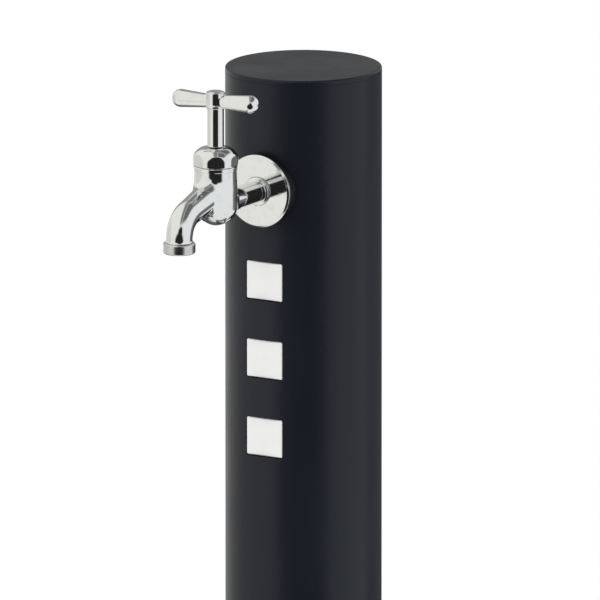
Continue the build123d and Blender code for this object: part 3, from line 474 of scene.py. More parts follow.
def rounded(corners, steps=4):
    """Points and normals of a closed outline, given counterclockwise as radius, height and rounding."""
    points, normals = [], []
    count = len(corners)
    for index, (radius, height, rounding) in enumerate(corners):
        here = np.array((radius, height), float)
        before = np.array(corners[index - 1][:2], float) - here
        after = np.array(corners[(index + 1) % count][:2], float) - here
        before /= np.hypot(*before)
        after /= np.hypot(*after)
        out_before = np.array((-before[1], before[0]))
        out_after = np.array((after[1], -after[0]))
        swing = math.atan2(
            out_before[0] * out_after[1] - out_before[1] * out_after[0], float(out_before @ out_after)
        )
        if rounding <= 0 or abs(swing) < 1e-4:
            for normal in (out_before, out_after):
                points.append(here)
                normals.append(normal)
            continue
        side = 1 if swing > 0 else -1
        back = rounding * abs(math.tan(swing / 2))
        centre = here + before * back - side * rounding * out_before
        for step in range(steps + 1):
            turn = swing * step / steps
            normal = np.array((
                out_before[0] * math.cos(turn) - out_before[1] * math.sin(turn),
                out_before[0] * math.sin(turn) + out_before[1] * math.cos(turn),
            ))
            points.append(centre + side * rounding * normal)
            normals.append(normal)
    return np.array(points), np.array(normals)


def ring_faces(pairs):
    """Faces between pairs of rings of vertex numbers; a corner that a face has twice is counted once."""
    faces = []
    for ring, other in pairs:
        for spoke, start in enumerate(ring):
            following = (spoke + 1) % len(ring)
            face = list(dict.fromkeys((start, ring[following], other[following], other[spoke])))
            if len(face) > 2:
                faces.append(face)
    return faces


def turned(corners, origin=(0, 0, 0), axes=AXIS_Z, around=160, steps=4):
    """A turned shell from an outline; points on the axis become one pole."""
    points, outward = rounded(corners, steps)
    across, up, along = (np.array(axis, float) for axis in axes)
    turns = np.arange(around) / around * FULL_TURN
    spokes = np.cos(turns)[:, None] * across + np.sin(turns)[:, None] * up
    vertices, normals, rings = [], [], []
    for (radius, height), (lean, rise) in zip(points, outward):
        start = len(vertices)
        if radius < 1e-6:
            vertices.append(np.array(origin) + height * along)
            normals.append(along * (1 if rise > 0 else -1))
            rings.append([start] * around)
            continue
        vertices.extend(np.array(origin) + radius * spokes + height * along)
        normals.extend(lean * spokes + rise * along)
        rings.append(list(range(start, start + around)))
    following = np.roll(points, -1, axis=0)
    faces = ring_faces(
        (rings[index], rings[(index + 1) % len(rings)]) for index in range(len(rings))
        if not np.allclose(points[index], following[index])
    )
    return np.array(vertices), faces, np.array(normals)


def surface_normals(vertices, faces):
    """Normals averaged from the faces round each vertex."""
    total = np.zeros_like(vertices)
    for size in (3, 4):
        chosen = np.array([face for face in faces if len(face) == size])
        if not len(chosen):
            continue
        first = vertices[chosen[:, 2]] - vertices[chosen[:, 0]]
        second = vertices[chosen[:, -1]] - vertices[chosen[:, 1]]
        cross = np.cross(first, second)
        for column in range(size):
            np.add.at(total, chosen[:, column], cross)
    return total / np.maximum(np.linalg.norm(total, axis=1, keepdims=True), 1e-12)


def field_slope(field, points, reach=1e-3):
    """The slope of a distance field at each point."""
    slope = np.empty_like(points)
    for axis in range(3):
        shift = np.zeros(3)
        shift[axis] = reach
        ahead = field(*(points + shift).T)
        behind = field(*(points - shift).T)
        slope[:, axis] = (ahead - behind) / (2 * reach)
    return slope


def settle(field, points, rounds=3):
    """Moves points onto the field's zero surface."""
    for _ in range(rounds):
        slope = field_slope(field, points)
        strength = np.maximum((slope ** 2).sum(1), 0.05)
        points = points - slope * (field(*points.T) / strength)[:, None]
    return points


def shell_of(field, low, high, step, evening=3):
    """The closed zero surface of a distance field, as quads with one vertex in each cell that it crosses."""
    axes = [np.arange(low[axis], high[axis] + step, step) for axis in range(3)]
    values = field(*np.meshgrid(*axes, indexing="ij"))
    inside = values < 0
    cells = tuple(size - 1 for size in values.shape)
    total = np.zeros((*cells, 3))
    hits = np.zeros(cells)
    crossings = []
    for axis in range(3):
        lower = tuple(slice(None, -1) if other == axis else slice(None) for other in range(3))
        upper = tuple(slice(1, None) if other == axis else slice(None) for other in range(3))
        edges = np.argwhere(inside[lower] != inside[upper])
        start = values[tuple(edges.T)]
        ends = edges.copy()
        ends[:, axis] += 1
        spot = edges.astype(float)
        spot[:, axis] += start / (start - values[tuple(ends.T)])
        first, second = (axis + 1) % 3, (axis + 2) % 3
        around = []
        for back_first, back_second in ((1, 1), (0, 1), (0, 0), (1, 0)):
            cell = edges.copy()
            cell[:, first] -= back_first
            cell[:, second] -= back_second
            np.add.at(total, tuple(cell.T), spot)
            np.add.at(hits, tuple(cell.T), 1)
            around.append(np.ravel_multi_index(tuple(cell.T), cells))
        quads = np.stack(around, axis=1)
        outward = start < 0
        crossings.append(np.where(outward[:, None], quads, quads[:, ::-1]))
    used = np.flatnonzero(hits.ravel())
    number = np.full(hits.size, -1)
    number[used] = np.arange(len(used))
    quads = number[np.concatenate(crossings)]
    grid = (total.reshape(-1, 3)[used] / hits.ravel()[used, None]) * step
    points = settle(field, grid + np.array(low, float))
    links = np.concatenate([quads[:, (a, b)] for a, b in ((0, 1), (1, 2), (2, 3), (3, 0))])
    for _ in range(evening):
        near = np.zeros_like(points)
        share = np.zeros(len(points))
        for a, b in ((0, 1), (1, 0)):
            np.add.at(near, links[:, a], points[links[:, b]])
            np.add.at(share, links[:, a], 1)
        points = settle(field, points * 0.5 + 0.5 * near / share[:, None], 2)
    slope = field_slope(field, points)
    normals = slope / np.maximum(np.linalg.norm(slope, axis=1, keepdims=True), 1e-9)
    return points, quads.tolist(), normals


def together(*shells):
    """Several shells as one."""
    vertices, faces, normals, start = [], [], [], 0
    for points, sides, outward in shells:
        vertices.append(points)
        normals.append(outward)
        faces.extend([corner + start for corner in face] for face in sides)
        start += len(points)
    return np.concatenate(vertices), faces, np.concatenate(normals)


def moved(shell, offset=(0, 0, 0), turn=0.0):
    """A shell turned about Z and then moved."""
    points, faces, normals = shell
    matrix = np.array([
        (math.cos(turn), -math.sin(turn), 0), (math.sin(turn), math.cos(turn), 0), (0, 0, 1)
    ])
    return points @ matrix.T + np.array(offset, float), faces, normals @ matrix.T


def smooth(mesh, crease=None):
    """Shades a mesh smooth, and keeps edges sharp where faces meet at more than the crease angle."""
    mesh.polygons.foreach_set("use_smooth", [True] * len(mesh.polygons))
    if crease is not None:
        mesh.set_sharp_from_angle(angle=math.radians(crease))
    return mesh


def mesh_from(name, shell):
    """A smooth-shaded mesh in metres with the shell's own normals."""
    vertices, faces, normals = shell
    used = sorted({vertex for face in faces for vertex in face})
    if len(used) < len(vertices):
        place = {old: new for new, old in enumerate(used)}
        vertices, normals = vertices[used], normals[used]
        faces = [[place[vertex] for vertex in face] for face in faces]
    mesh = bpy.data.meshes.new(name)
    mesh.from_pydata((vertices * MM).tolist(), [], faces)
    smooth(mesh).normals_split_custom_set_from_vertices(normals.tolist())
    return mesh


def flat_sided_mesh(name, vertices, faces, crease=25):
    """A mesh whose edges stay sharp where its faces meet at more than the crease angle."""
    mesh = bpy.data.meshes.new(name)
    mesh.from_pydata((np.array(vertices) * MM).tolist(), [], faces)
    return smooth(mesh, crease)


def smooth_copy(node, crease=28):
    """A merged copy of a CAD node's loose triangles, smooth except at its real edges."""
    copy = bmesh.new()
    copy.from_mesh(frame["nodes"][node].data)
    bmesh.ops.remove_doubles(copy, verts=copy.verts, dist=2e-6)
    bmesh.ops.dissolve_degenerate(copy, edges=copy.edges, dist=1e-7)
    mesh = bpy.data.meshes.new(f"{node}_smooth")
    copy.to_mesh(mesh)
    copy.free()
    return smooth(mesh, crease)


def add_object(name, data):
    """A new object in the scene."""
    thing = bpy.data.objects.new(name, data)
    bpy.context.scene.collection.objects.link(thing)
    return thing


def place_piece(name, made, slot, body, *nodes, finish=None):
    """Puts a finished mesh or shell in the scene as a piece that stands for CAD nodes."""
    mesh = mesh_from(name, made) if isinstance(made, tuple) else made
    mesh.materials.clear()
    mesh.materials.append(finish_for(finish or slot))
    piece = add_object(name, mesh)
    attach(piece, body)
    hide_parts(*nodes)
    return piece


def loops_shell(loops, closed=False):
    """A shell through loops of equal length, from back to front; closed joins the last to the first,
    and otherwise both ends are filled."""
    count = len(loops[0])
    rings = [list(range(start, start + count)) for start in range(0, len(loops) * count, count)]
    pairs = list(zip(rings, rings[1:]))
    if closed:
        return np.concatenate(loops), ring_faces([*pairs, (rings[-1], rings[0])])
    return np.concatenate(loops), [*ring_faces(pairs), rings[0][::-1], rings[-1]]


def shank_thread(start, end, outer, depth, pitch, around=96):
    """A right-hand pipe thread along the neck's axis, with both ends closed."""
    heights = np.arange(start, end + pitch / 24, pitch / 12)
    turns = np.arange(around) / around * FULL_TURN
    wave = np.cos(FULL_TURN * heights[:, None] / pitch - turns[None, :])
    radius = outer - depth / 2 + depth / 2 * np.clip(wave * 1.15, -1, 1)
    limit = outer - depth * 1.1 + np.minimum(heights - start, end - heights)[:, None]
    radius = np.minimum(radius, limit)
    along = np.broadcast_to(heights[:, None], radius.shape)
    points = np.stack((-radius * np.cos(turns), along, radius * np.sin(turns)), axis=2).reshape(-1, 3)
    count = len(points)
    rings = [
        [count] * around, *(range(first, first + around) for first in range(0, count, around)),
        [count + 1] * around,
    ]
    points = np.concatenate((points, [(0, start, 0), (0, end, 0)]))
    faces = ring_faces(zip(rings, rings[1:]))
    return points, faces, surface_normals(points, faces)


# Distance fields

def round_join(first, second, radius):
    """Two fields joined with a fillet between them."""
    reach = np.hypot(np.maximum(radius - first, 0), np.maximum(radius - second, 0))
    return np.maximum(radius, np.minimum(first, second)) - reach


def round_cut(first, second, radius):
    """What two fields share, with a rounded edge between them."""
    reach = np.hypot(np.maximum(radius + first, 0), np.maximum(radius + second, 0))
    return np.minimum(-radius, np.maximum(first, second)) + reach


def along_line(forward, height, start, end):
    """Distance from a line in the tap's plane, and how far along it, from 0 to 1."""
    run, rise = end[0] - start[0], end[1] - start[1]
    share = ((forward - start[0]) * run + (height - start[1]) * rise) / (run ** 2 + rise ** 2)
    share = np.clip(share, 0, 1)
    return np.hypot(forward - start[0] - share * run, height - start[1] - share * rise), share


def any_of(*fields):
    """The union of several fields."""
    return np.minimum.reduce(fields)


def all_of(*fields):
    """What several fields share."""
    return np.maximum.reduce(fields)


class TapShape:
    """Distance fields of the tap's casting and its water ways, in millimetres from the handle's axis."""

    def __init__(self, tap):
        self.tap = tap
        fall, radius = tap.spout_fall, tap.bend_radius
        self.bend_end = -tap.outlet_drop + SPOUT_STRAIGHT
        self.centre = (tap.spout_reach - radius, self.bend_end)
        self.bend_start = (self.centre[0] + radius * math.sin(fall), self.centre[1] + radius * math.cos(fall))
        self.root = (0, self.bend_start[1] + self.bend_start[0] * math.tan(fall))
        self.thread_start = tap.reach - tap.flange_front - PIPE_THREAD_SETBACK

    def bend(self, x, forward, height):
        """Distance from the bend's centre line."""
        turn = np.arctan2(height - self.centre[1], forward - self.centre[0])
        turn = np.clip(turn, 0, QUARTER_TURN - self.tap.spout_fall)
        near_forward = self.centre[0] + self.tap.bend_radius * np.cos(turn)
        near_height = self.centre[1] + self.tap.bend_radius * np.sin(turn)
        return np.sqrt(x ** 2 + (forward - near_forward) ** 2 + (height - near_height) ** 2)

    def spout(self, x, forward, height):
        """Outside of the spout, down to the top of its collar."""
        tap = self.tap
        slim, root = tap.spout_radius, tap.spout_root_radius
        flat, share = along_line(forward, height, self.root, self.bend_start)
        run = np.hypot(x, flat) - (slim + (root - slim) * (1 - share) ** 1.3)
        bend = self.bend(x, forward, height) - slim
        low = -tap.outlet_drop + tap.collar_height
        flare = np.clip((self.bend_end - height) / (self.bend_end - low), 0, 1) ** 2 * 0.6
        end = np.hypot(x, forward - tap.spout_reach) - slim - flare
        tube = any_of(run, bend, np.maximum(end, height - self.bend_end))
        return round_cut(tube, low - height, 0.25)

    def chamber(self, x, y, height):
        """Outside of the chamber, up into its rim."""
        wide, deep = self.tap.belly_radius, self.tap.belly_depth
        taper = (wide - self.tap.body_top_radius) / CHAMBER_TAPER ** 2
        radial = np.hypot(x, y)
        wall = wide - taper * height ** 2
        over = height > 0
        value = (radial / wide) ** 2 - np.where(over, (wall / wide) ** 2, 1 - (height / deep) ** 2)
        slope_out = 2 * radial / wide ** 2
        slope_up = np.where(over, 4 * taper * height * wall / wide ** 2, 2 * height / deep ** 2)
        distance = value / np.maximum(np.hypot(slope_out, slope_up), 0.5 / wide)
        return np.maximum(distance, height - CHAMBER_END)

    def neck(self, x, y, height):
        """Outside of the neck, from the chamber to the thread."""
        tap = self.tap
        share = np.clip((y - tap.body_top_radius / 3) / 12.5, 0, 1)
        radius = tap.neck_radius + (tap.neck_root_radius - tap.neck_radius) * (1 - share) ** 1.5
        return all_of(np.hypot(x, height) - radius, -y, y - self.thread_start - 0.5)

    def water(self, x, y, height):
        """The rooms and ways inside."""
        radial = np.hypot(x, y)
        upper = np.maximum(radial - np.clip(30 - height, UPPER_BORE, 11), 6.5 - height)
        lower = all_of(radial - LOWER_BORE, -8 - height, height - 3)
        hole = all_of(radial - SPOUT_WAY, -height, height - 8.5)
        way_in = np.maximum(np.hypot(x, height + 1.5) - INLET_WAY, -y)
        flat, _ = along_line(-y, height, (9, 12.4), self.bend_start)
        way_out = np.minimum(np.hypot(x, flat), self.bend(x, -y, height)) - SPOUT_WAY
        mouth = np.maximum(np.hypot(x, -y - self.tap.spout_reach) - LOWER_BORE, height - self.bend_end)
        return any_of(upper, lower, hole, way_in, way_out, mouth)

    def casting(self, x, y, height):
        """The whole casting between its threads, with closed ends."""
        blend = self.tap.blend
        outside = round_join(self.chamber(x, y, height), self.spout(x, -y, height), blend)
        outside = round_join(outside, self.neck(x, y, height), blend)
        hollow = np.maximum(outside, -self.water(x, y, height))
        seat = np.maximum(np.abs(np.hypot(x, y) - 6.35) - 0.85, np.abs(height - 6.5) - 1.5)
        return all_of(np.minimum(hollow, seat), -20 - height, height - 28.4, y - self.thread_start - 1.9)


def circle_through(first, second, third):
    """Centre and radius of the circle through three points."""
    rows = np.array([(2 * (b[0] - first[0]), 2 * (b[1] - first[1])) for b in (second, third)], float)
    sums = [b[0] ** 2 + b[1] ** 2 - first[0] ** 2 - first[1] ** 2 for b in (second, third)]
    centre = np.linalg.solve(rows, sums)
    return centre, math.hypot(first[0] - centre[0], first[1] - centre[1])


def cover_nut_field(tap):
    """Distance field of the domed hexagon nut."""
    half, worn = tap.nut_flats / 2, tap.nut_corner
    corner = (half - worn) * 2 / math.sqrt(3) + worn
    top, shoulder, low = tap.nut_top, tap.nut_shoulder, tap.body_top + 0.2
    rise = (top - shoulder) / 5
    middle = ((corner + NUT_CROWN) / 2 + rise, (shoulder + top) / 2 + rise)
    centre, curve = circle_through((corner, shoulder), middle, (NUT_CROWN, top))
    plain, sector = half - worn, math.radians(60)

    def field(x, y, height):
        radial = np.hypot(x, y)
        turn = np.mod(np.arctan2(y, x) - tap.nut_turn, sector) - sector / 2
        out, side = radial * np.cos(turn) - plain, radial * np.abs(np.sin(turn)) - plain / math.sqrt(3)
        prism = np.where(side > 0, np.hypot(out, side), out) - worn
        dome = np.hypot(np.maximum(radial - centre[0], 0), np.maximum(height - centre[1], 0)) - curve
        nut = round_cut(round_cut(prism, dome, 0.6), height - top, 0.5)
        foot = (radial - corner + 0.8 - (height - low)) / math.sqrt(2)
        nut = round_cut(round_cut(nut, low - height, 0.3), foot, 0.4)
        thread = np.maximum(radial - 11.05, height - 38.3)
        cone = np.clip(PACKING_RADIUS - (height - PACKING_CONE) * 6 / 7, SPINDLE_HOLE, PACKING_RADIUS)
        room = np.where(height < PACKING_CONE, radial - 10.5, radial - cone)
        room = all_of(room, 38 - height, height - 42.05)
        return np.maximum(nut, -any_of(thread, room, radial - SPINDLE_HOLE))

    return field


def handle_field(tap):
    """Distance field of the T-handle, before it is turned."""
    bar, low, bead = tap.bar_height, tap.hub_low, tap.bead_height / 2
    thin, thick, hub = tap.arm_radius, tap.tip_radius, tap.hub_radius
    tip = tap.bar_half_length - thick
    slope = (thick - thin) / tip

    def field(x, y, height):
        radial = np.hypot(x, y)
        reach = np.abs(x)
        across = np.hypot(y, height - bar)
        arm = (across - thin - slope * reach) / math.hypot(1, slope)
        arm = np.where(reach > tip, np.hypot(across, reach - tip) - thick, arm)
        post = round_cut(radial - tap.sleeve_radius, HANDLE_LOW - height, 0.4)
        post = np.maximum(post, height - low - 2)
        head = round_cut(np.maximum(radial - hub, low - height), height - tap.hub_top, 0.6)
        ring = round_cut(radial - hub - 0.5, np.abs(height - low) - bead, 0.9)
        shape = round_join(head, arm, 0.9)
        shape = round_join(round_join(shape, ring, 0.3), post, 0.3)
        steps = [np.maximum(radial - radius, height - top) for radius, top in HANDLE_BORE]
        recess = np.maximum(radial - CAP_RECESS[0], CAP_RECESS[1] - height)
        return np.maximum(shape, -any_of(*steps, recess))

    return field


# Repeating pieces made with Geometry Nodes

def start_tree(name, inputs):
    """A Geometry Nodes tree with named inputs and a finish, and its input and output sockets."""
    tree = bpy.data.node_groups.new(name, "GeometryNodeTree")
    tree.interface.new_socket("Geometry", in_out="INPUT", socket_type="NodeSocketGeometry")
    for label, kind, default in (*inputs, ("Finish", "NodeSocketMaterial", None)):
        socket = tree.interface.new_socket(label, in_out="INPUT", socket_type=kind)
        if default is not None:
            socket.default_value = default
    tree.interface.new_socket("Geometry", in_out="OUTPUT", socket_type="NodeSocketGeometry")
    return tree, tree.nodes.new("NodeGroupInput").outputs, tree.nodes.new("NodeGroupOutput").inputs


def plain_mesh(name, base, tree, values):
    """Runs a tree on a mesh with its inputs set, and returns the result as a plain mesh."""
    holder = add_object(f"{name}_making", base)
    modifier = holder.modifiers.new(name, "NODES")
    modifier.node_group = tree
    for item in tree.interface.items_tree:
        if item.in_out == "INPUT" and item.name in values:
            modifier[item.identifier] = values[item.name]
    graph = bpy.context.evaluated_depsgraph_get()
    mesh = bpy.data.meshes.new_from_object(holder.evaluated_get(graph))
    bpy.data.objects.remove(holder)
    mesh.name = name
    return mesh


def vector(tree, **parts):
    """A vector from its X, Y and Z."""
    return add_node(tree, "ShaderNodeCombineXYZ", inputs=parts).outputs[0]


def copies(tree, piece, line, **layout):
    """Real copies of a piece at the points of a line."""
    points = add_node(tree, "GeometryNodeMeshLine", inputs=line).outputs[0]
    made = add_node(tree, "GeometryNodeInstanceOnPoints", inputs={
        "Points": points, "Instance": piece, **layout,
    })
    return add_node(tree, "GeometryNodeRealizeInstances", inputs={0: made.outputs[0]}).outputs[0]


def end_tree(tree, geometry, given, result):
    """Ends a tree with its geometry in the material that it was given."""
    dressed = add_node(tree, "GeometryNodeSetMaterial", inputs={
        "Geometry": geometry, "Material": given["Finish"],
    })
    tree.links.new(dressed.outputs[0], result[0])
    return tree


def row_tree():
    """Copies a piece down the post at an even pitch."""
    tree, given, result = start_tree("row_down_the_post", (
        ("Count", "NodeSocketInt", 3), ("Pitch", "NodeSocketFloat", 0.0582),
    ))
    offset = vector(tree, Z=maths(tree, "MULTIPLY", given["Pitch"], -1.0))
    row = copies(tree, given["Geometry"], {"Count": given["Count"], "Offset": offset})
    return end_tree(tree, row, given, result)


def ring_tree():
    """Copies a piece round the post's axis at an even angle."""
    tree, given, result = start_tree("ring_round_the_post", (
        ("Count", "NodeSocketInt", 2), ("First Angle", "NodeSocketFloat", 0.0),
        ("Step", "NodeSocketFloat", 1.0),
    ))
    number = add_node(tree, "GeometryNodeInputIndex").outputs[0]
    turn = vector(tree, Z=maths(tree, "MULTIPLY_ADD", number, given["Step"], given["First Angle"]))
    ring = copies(tree, given["Geometry"], {"Count": given["Count"], "Offset": (0, 0, 0)}, Rotation=turn)
    return end_tree(tree, ring, given, result)


def opening_nodes(tree, width, height, corner):
    """A rounded rectangular plug that stands facing forward, one metre deep."""
    flat = add_node(tree, "GeometryNodeCurvePrimitiveQuadrilateral", inputs={
        "Width": width, "Height": height,
    })
    soft = add_node(
        tree, "GeometryNodeFilletCurve", {"mode": "POLY"},
        {"Curve": flat.outputs[0], "Radius": corner, "Count": 6, "Limit Radius": True},
    )
    line = add_node(tree, "GeometryNodeCurvePrimitiveLine", inputs={"Start": (0, 0, 0), "End": (0, 0, 1)})
    plug = add_node(tree, "GeometryNodeCurveToMesh", inputs={
        "Curve": line.outputs[0], "Profile Curve": soft.outputs[0], "Fill Caps": True,
    })
    return plug.outputs[0]


def post_tree():
    """The post's tube: two cylinders, and every opening cut through its wall."""
    lengths = (
        "Radius", "Wall", "Top", "Tap Height", "Tap Hole", "Tile Width", "Tile Height", "Tile Corner",
        "First Tile", "Tile Pitch", "Window Width", "Window Height", "Window Corner", "Window Place",
        "Anchor Height", "Anchor Radius",
    )
    tree, given, result = start_tree("post_tube", (
        *((label, "NodeSocketFloat", 0.01) for label in lengths), ("Tiles", "NodeSocketInt", 3),
    ))

    def place(geometry, height, turn=(0, 0, 0), y=0.0):
        return add_node(tree, "GeometryNodeTransform", inputs={
            "Geometry": geometry, "Translation": vector(tree, Y=y, Z=height), "Rotation": turn,
        }).outputs[0]

    def drum(radius, depth, sides):
        return add_node(tree, "GeometryNodeMeshCylinder", {"fill_type": "NGON"}, {
            "Vertices": sides, "Radius": radius, "Depth": depth,
        }).outputs[0]

    def opening(name):
        return opening_nodes(tree, *(given[f"{name} {size}"] for size in ("Width", "Height", "Corner")))

    middle = maths(tree, "MULTIPLY", given["Top"], 0.5)
    bore = maths(tree, "SUBTRACT", given["Radius"], given["Wall"])
    half_bore = maths(tree, "MULTIPLY", bore, 0.5)
    outside = place(drum(given["Radius"], given["Top"], POST_SIDES), middle)
    inside = place(drum(bore, maths(tree, "ADD", given["Top"], 0.02), POST_SIDES), middle)
    tiles = copies(tree, place(opening("Tile"), 0.0, (QUARTER_TURN, 0, 0)), {
        "Count": given["Tiles"],
        "Start Location": vector(tree, Y=maths(tree, "MULTIPLY", half_bore, -1.0), Z=given["First Tile"]),
        "Offset": vector(tree, Z=maths(tree, "MULTIPLY", given["Tile Pitch"], -1.0)),
    })
    window = place(opening("Window"), given["Window Place"], (-QUARTER_TURN, 0, 0), half_bore)
    tap_hole = place(drum(given["Tap Hole"], 1.0, 96), given["Tap Height"], (QUARTER_TURN, 0, 0), -0.52)
    anchor = place(drum(given["Anchor Radius"], 1.0, 48), given["Anchor Height"], (0, QUARTER_TURN, 0))
    tube = add_node(
        tree, "GeometryNodeMeshBoolean", {"operation": "DIFFERENCE", "solver": "EXACT"}, {0: outside}
    )
    for cutter in (inside, tiles, window, tap_hole, anchor):
        tree.links.new(cutter, tube.inputs[1])
    return end_tree(tree, tube.outputs[0], given, result)


def true_round(mesh, radii):
    """Gives faces that lie on cylinders round the post's axis the cylinders' own normals."""
    places = np.empty(len(mesh.vertices) * 3)
    mesh.vertices.foreach_get("co", places)
    places = places.reshape(-1, 3)
    radial = np.hypot(places[:, 0], places[:, 1])
    normals = np.empty((len(mesh.loops), 3))
    for face in mesh.polygons:
        corners = list(face.vertices)
        normal = face.normal
        sides = [radius for radius in radii if np.all(np.abs(radial[corners] - radius) < 2e-5)]
        upright = abs(normal.z) < 0.2
        for loop, corner in zip(face.loop_indices, corners):
            out = np.array((places[corner, 0], places[corner, 1], 0)) / max(radial[corner], 1e-9)
            if sides and upright and abs(out @ np.array(normal)) > 0.9:
                normals[loop] = out * (1 if out @ np.array(normal) > 0 else -1)
            else:
                normals[loop] = normal
    smooth(mesh).normals_split_custom_set(normals.tolist())
    return mesh


def rounded_frame(width, height, corner, steps=6):
    """Points of a rounded rectangle, counterclockwise as seen from the front."""
    points = []
    for quarter, (side, level) in enumerate(((1, 1), (-1, 1), (-1, -1), (1, -1))):
        for step in range(steps + 1):
            turn = QUARTER_TURN * (quarter + step / steps)
            points.append((
                side * (width / 2 - corner) + corner * math.cos(turn),
                level * (height / 2 - corner) + corner * math.sin(turn),
            ))
    return np.array(points)


def tap_place(post, tap):
    """Where the handle's axis crosses the height of the neck."""
    return (0, -tap.reach, post.tap_height)


# Operators, one for each piece or group of like pieces

class STANDPIPE_OT_tube(bpy.types.Operator):
    """Makes the post's tube and cuts its openings"""
    bl_idname = "standpipe.tube"
    bl_label = "Post tube"

    def execute(self, context):
        post = context.scene.standpipe_post
        gap = 2 * post.tile_joint
        mesh = plain_mesh("coated_tube", bpy.data.meshes.new("blank"), post_tree(), {
            "Radius": post.radius, "Wall": post.wall, "Top": post.tube_top,
            "Tap Height": post.tap_height, "Tap Hole": post.tap_hole,
            "Tile Width": post.tile_width + gap, "Tile Height": post.tile_height + gap,
            "Tile Corner": post.tile_corner + post.tile_joint,
            "First Tile": post.tap_height - post.first_tile_drop, "Tile Pitch": post.tile_pitch,
            "Window Width": post.window_width, "Window Height": post.window_height,
            "Window Corner": post.window_corner, "Window Place": post.window_low + post.window_height / 2,
            "Anchor Height": post.anchor_height, "Anchor Radius": post.anchor_radius,
            "Tiles": post.tile_count,
        })
        if len(mesh.polygons) < FEWEST_FACES:
            raise RuntimeError("the tube or its openings are missing")
        true_round(mesh, (post.radius, post.radius - post.wall))
        place_piece("coated_tube", mesh, "post_finish", "standpipe", "post_tube")
        return {"FINISHED"}


class STANDPIPE_OT_cap(bpy.types.Operator):
    """Makes the lid that plugs the post's top"""
    bl_idname = "standpipe.cap"
    bl_label = "Top cap"

    def execute(self, context):
        post, _ = settings_of(context)
        plug, low = post.radius - post.wall - CAP_PLAY, post.tube_top
        lid = turned([
            (0, low, 0), (plug - CAP_WALL, low, 0.3), (plug - CAP_WALL, low - CAP_DEPTH, 0.3),
            (plug, low - CAP_DEPTH, 0.5), (plug, low, 0.2), (post.radius, low, 0.35),
            (post.radius, post.cap_top, 1.5), (0, post.cap_top, 0),
        ], around=POST_SIDES, steps=8)
        place_piece("top_lid", lid, "post_finish", "standpipe", "top_cap")
        return {"FINISHED"}


class STANDPIPE_OT_cap_screws(bpy.types.Operator):
    """Makes the slotted screws round the back of the cap"""
    bl_idname = "standpipe.cap_screws"
    bl_label = "Cap screws"

    def execute(self, context):
        post, _ = settings_of(context)
        height = post.tube_top - CAP_DEPTH / 2
        place, (head_radius, head_depth, shank_radius, shank_length) = (post.radius, 0, height), CAP_SCREW
        head = [(0, 0, 0), (head_radius, 0, 0.1), (head_radius, head_depth, 0.9), (0, head_depth, 0)]
        shank = [
            (0, -shank_length, 0), (shank_radius, -shank_length, 0.5), (shank_radius, 0.3, 0), (0, 0.3, 0)
        ]
        base = mesh_from("cap_screw_blank", together(
            turned(head, place, AXIS_RIGHT, 48, 5), turned(shank, place, AXIS_RIGHT, 32)
        ))
        slot = flat_sided_mesh("slot", *loops_shell([
            [(post.radius + out, side, height + rise) for side, rise in SLOT_CORNERS] for out in (1.0, 3.0)
        ]))
        cutter, blank = add_object("slot_cutter", slot), add_object("cap_screw_blank", base)
        cut = blank.modifiers.new("slot", "BOOLEAN")
        cut.operation, cut.solver, cut.object = "DIFFERENCE", "EXACT", cutter
        screw = bpy.data.meshes.new_from_object(blank.evaluated_get(context.evaluated_depsgraph_get()))
        for thing in (cutter, blank):
            bpy.data.objects.remove(thing)
        edited = bmesh.new()
        edited.from_mesh(screw)
        bmesh.ops.recalc_face_normals(edited, faces=edited.faces)
        edited.to_mesh(screw)
        edited.free()
        if "custom_normal" in screw.attributes:
            screw.attributes.remove(screw.attributes["custom_normal"])
        mesh = plain_mesh("slotted_screws", smooth(screw, SCREW_CREASE), ring_tree(), {
            "Count": 2, "First Angle": post.screw_angle, "Step": math.pi - 2 * post.screw_angle,
            "Finish": finish_for("screw_steel"),
        })
        place_piece("slotted_screws", smooth(mesh, SCREW_CREASE), "screw_steel", "standpipe", "cap_screws")
        return {"FINISHED"}


class STANDPIPE_OT_tiles(bpy.types.Operator):
    """Makes the glass tiles and the sealant round them"""
    bl_idname = "standpipe.tiles"
    bl_label = "Glass tiles"

    def execute(self, context):
        post, _ = settings_of(context)
        arris, joint = post.tile_arris, post.tile_joint
        face = math.sqrt(post.radius ** 2 - (post.tile_width / 2) ** 2)
        back = face - post.tile_depth

        def loop(grow, forward):
            sides = (side + 2 * grow for side in (post.tile_width, post.tile_height))
            points = rounded_frame(*sides, post.tile_corner + grow)
            middle = post.tap_height - post.first_tile_drop
            return np.array([(x, -forward, middle + rise) for x, rise in points])

        tile = flat_sided_mesh("glass_tile", *loops_shell([
            loop(0, back), loop(0, face - arris), loop(-arris * 0.7, face - arris * 0.25), loop(-arris, face),
        ]), crease=32)
        bead = flat_sided_mesh("sealant_bead", *loops_shell([
            loop(grow, forward) for grow, forward in (
                (joint - BEAD_PLAY, back + 1), (joint - BEAD_PLAY, face - 0.75), (joint / 2, face - 0.95),
                (BEAD_PLAY, face - 0.75), (BEAD_PLAY, back + 1),
            )
        ], closed=True), crease=60)
        tree, pitch = row_tree(), context.scene.standpipe_post.tile_pitch
        tile_nodes = [f"glass_tile_{number + 1}" for number in range(post.tile_count)]
        for name, base, slot, nodes in (
            ("glass_tiles", tile, "tile_glass", tile_nodes), ("tile_sealant", bead, "adhesive", [])
        ):
            mesh = plain_mesh(name, base, tree, {
                "Count": post.tile_count, "Pitch": pitch, "Finish": finish_for(slot),
            })
            place_piece(name, mesh, slot, "standpipe", *nodes)
        return {"FINISHED"}


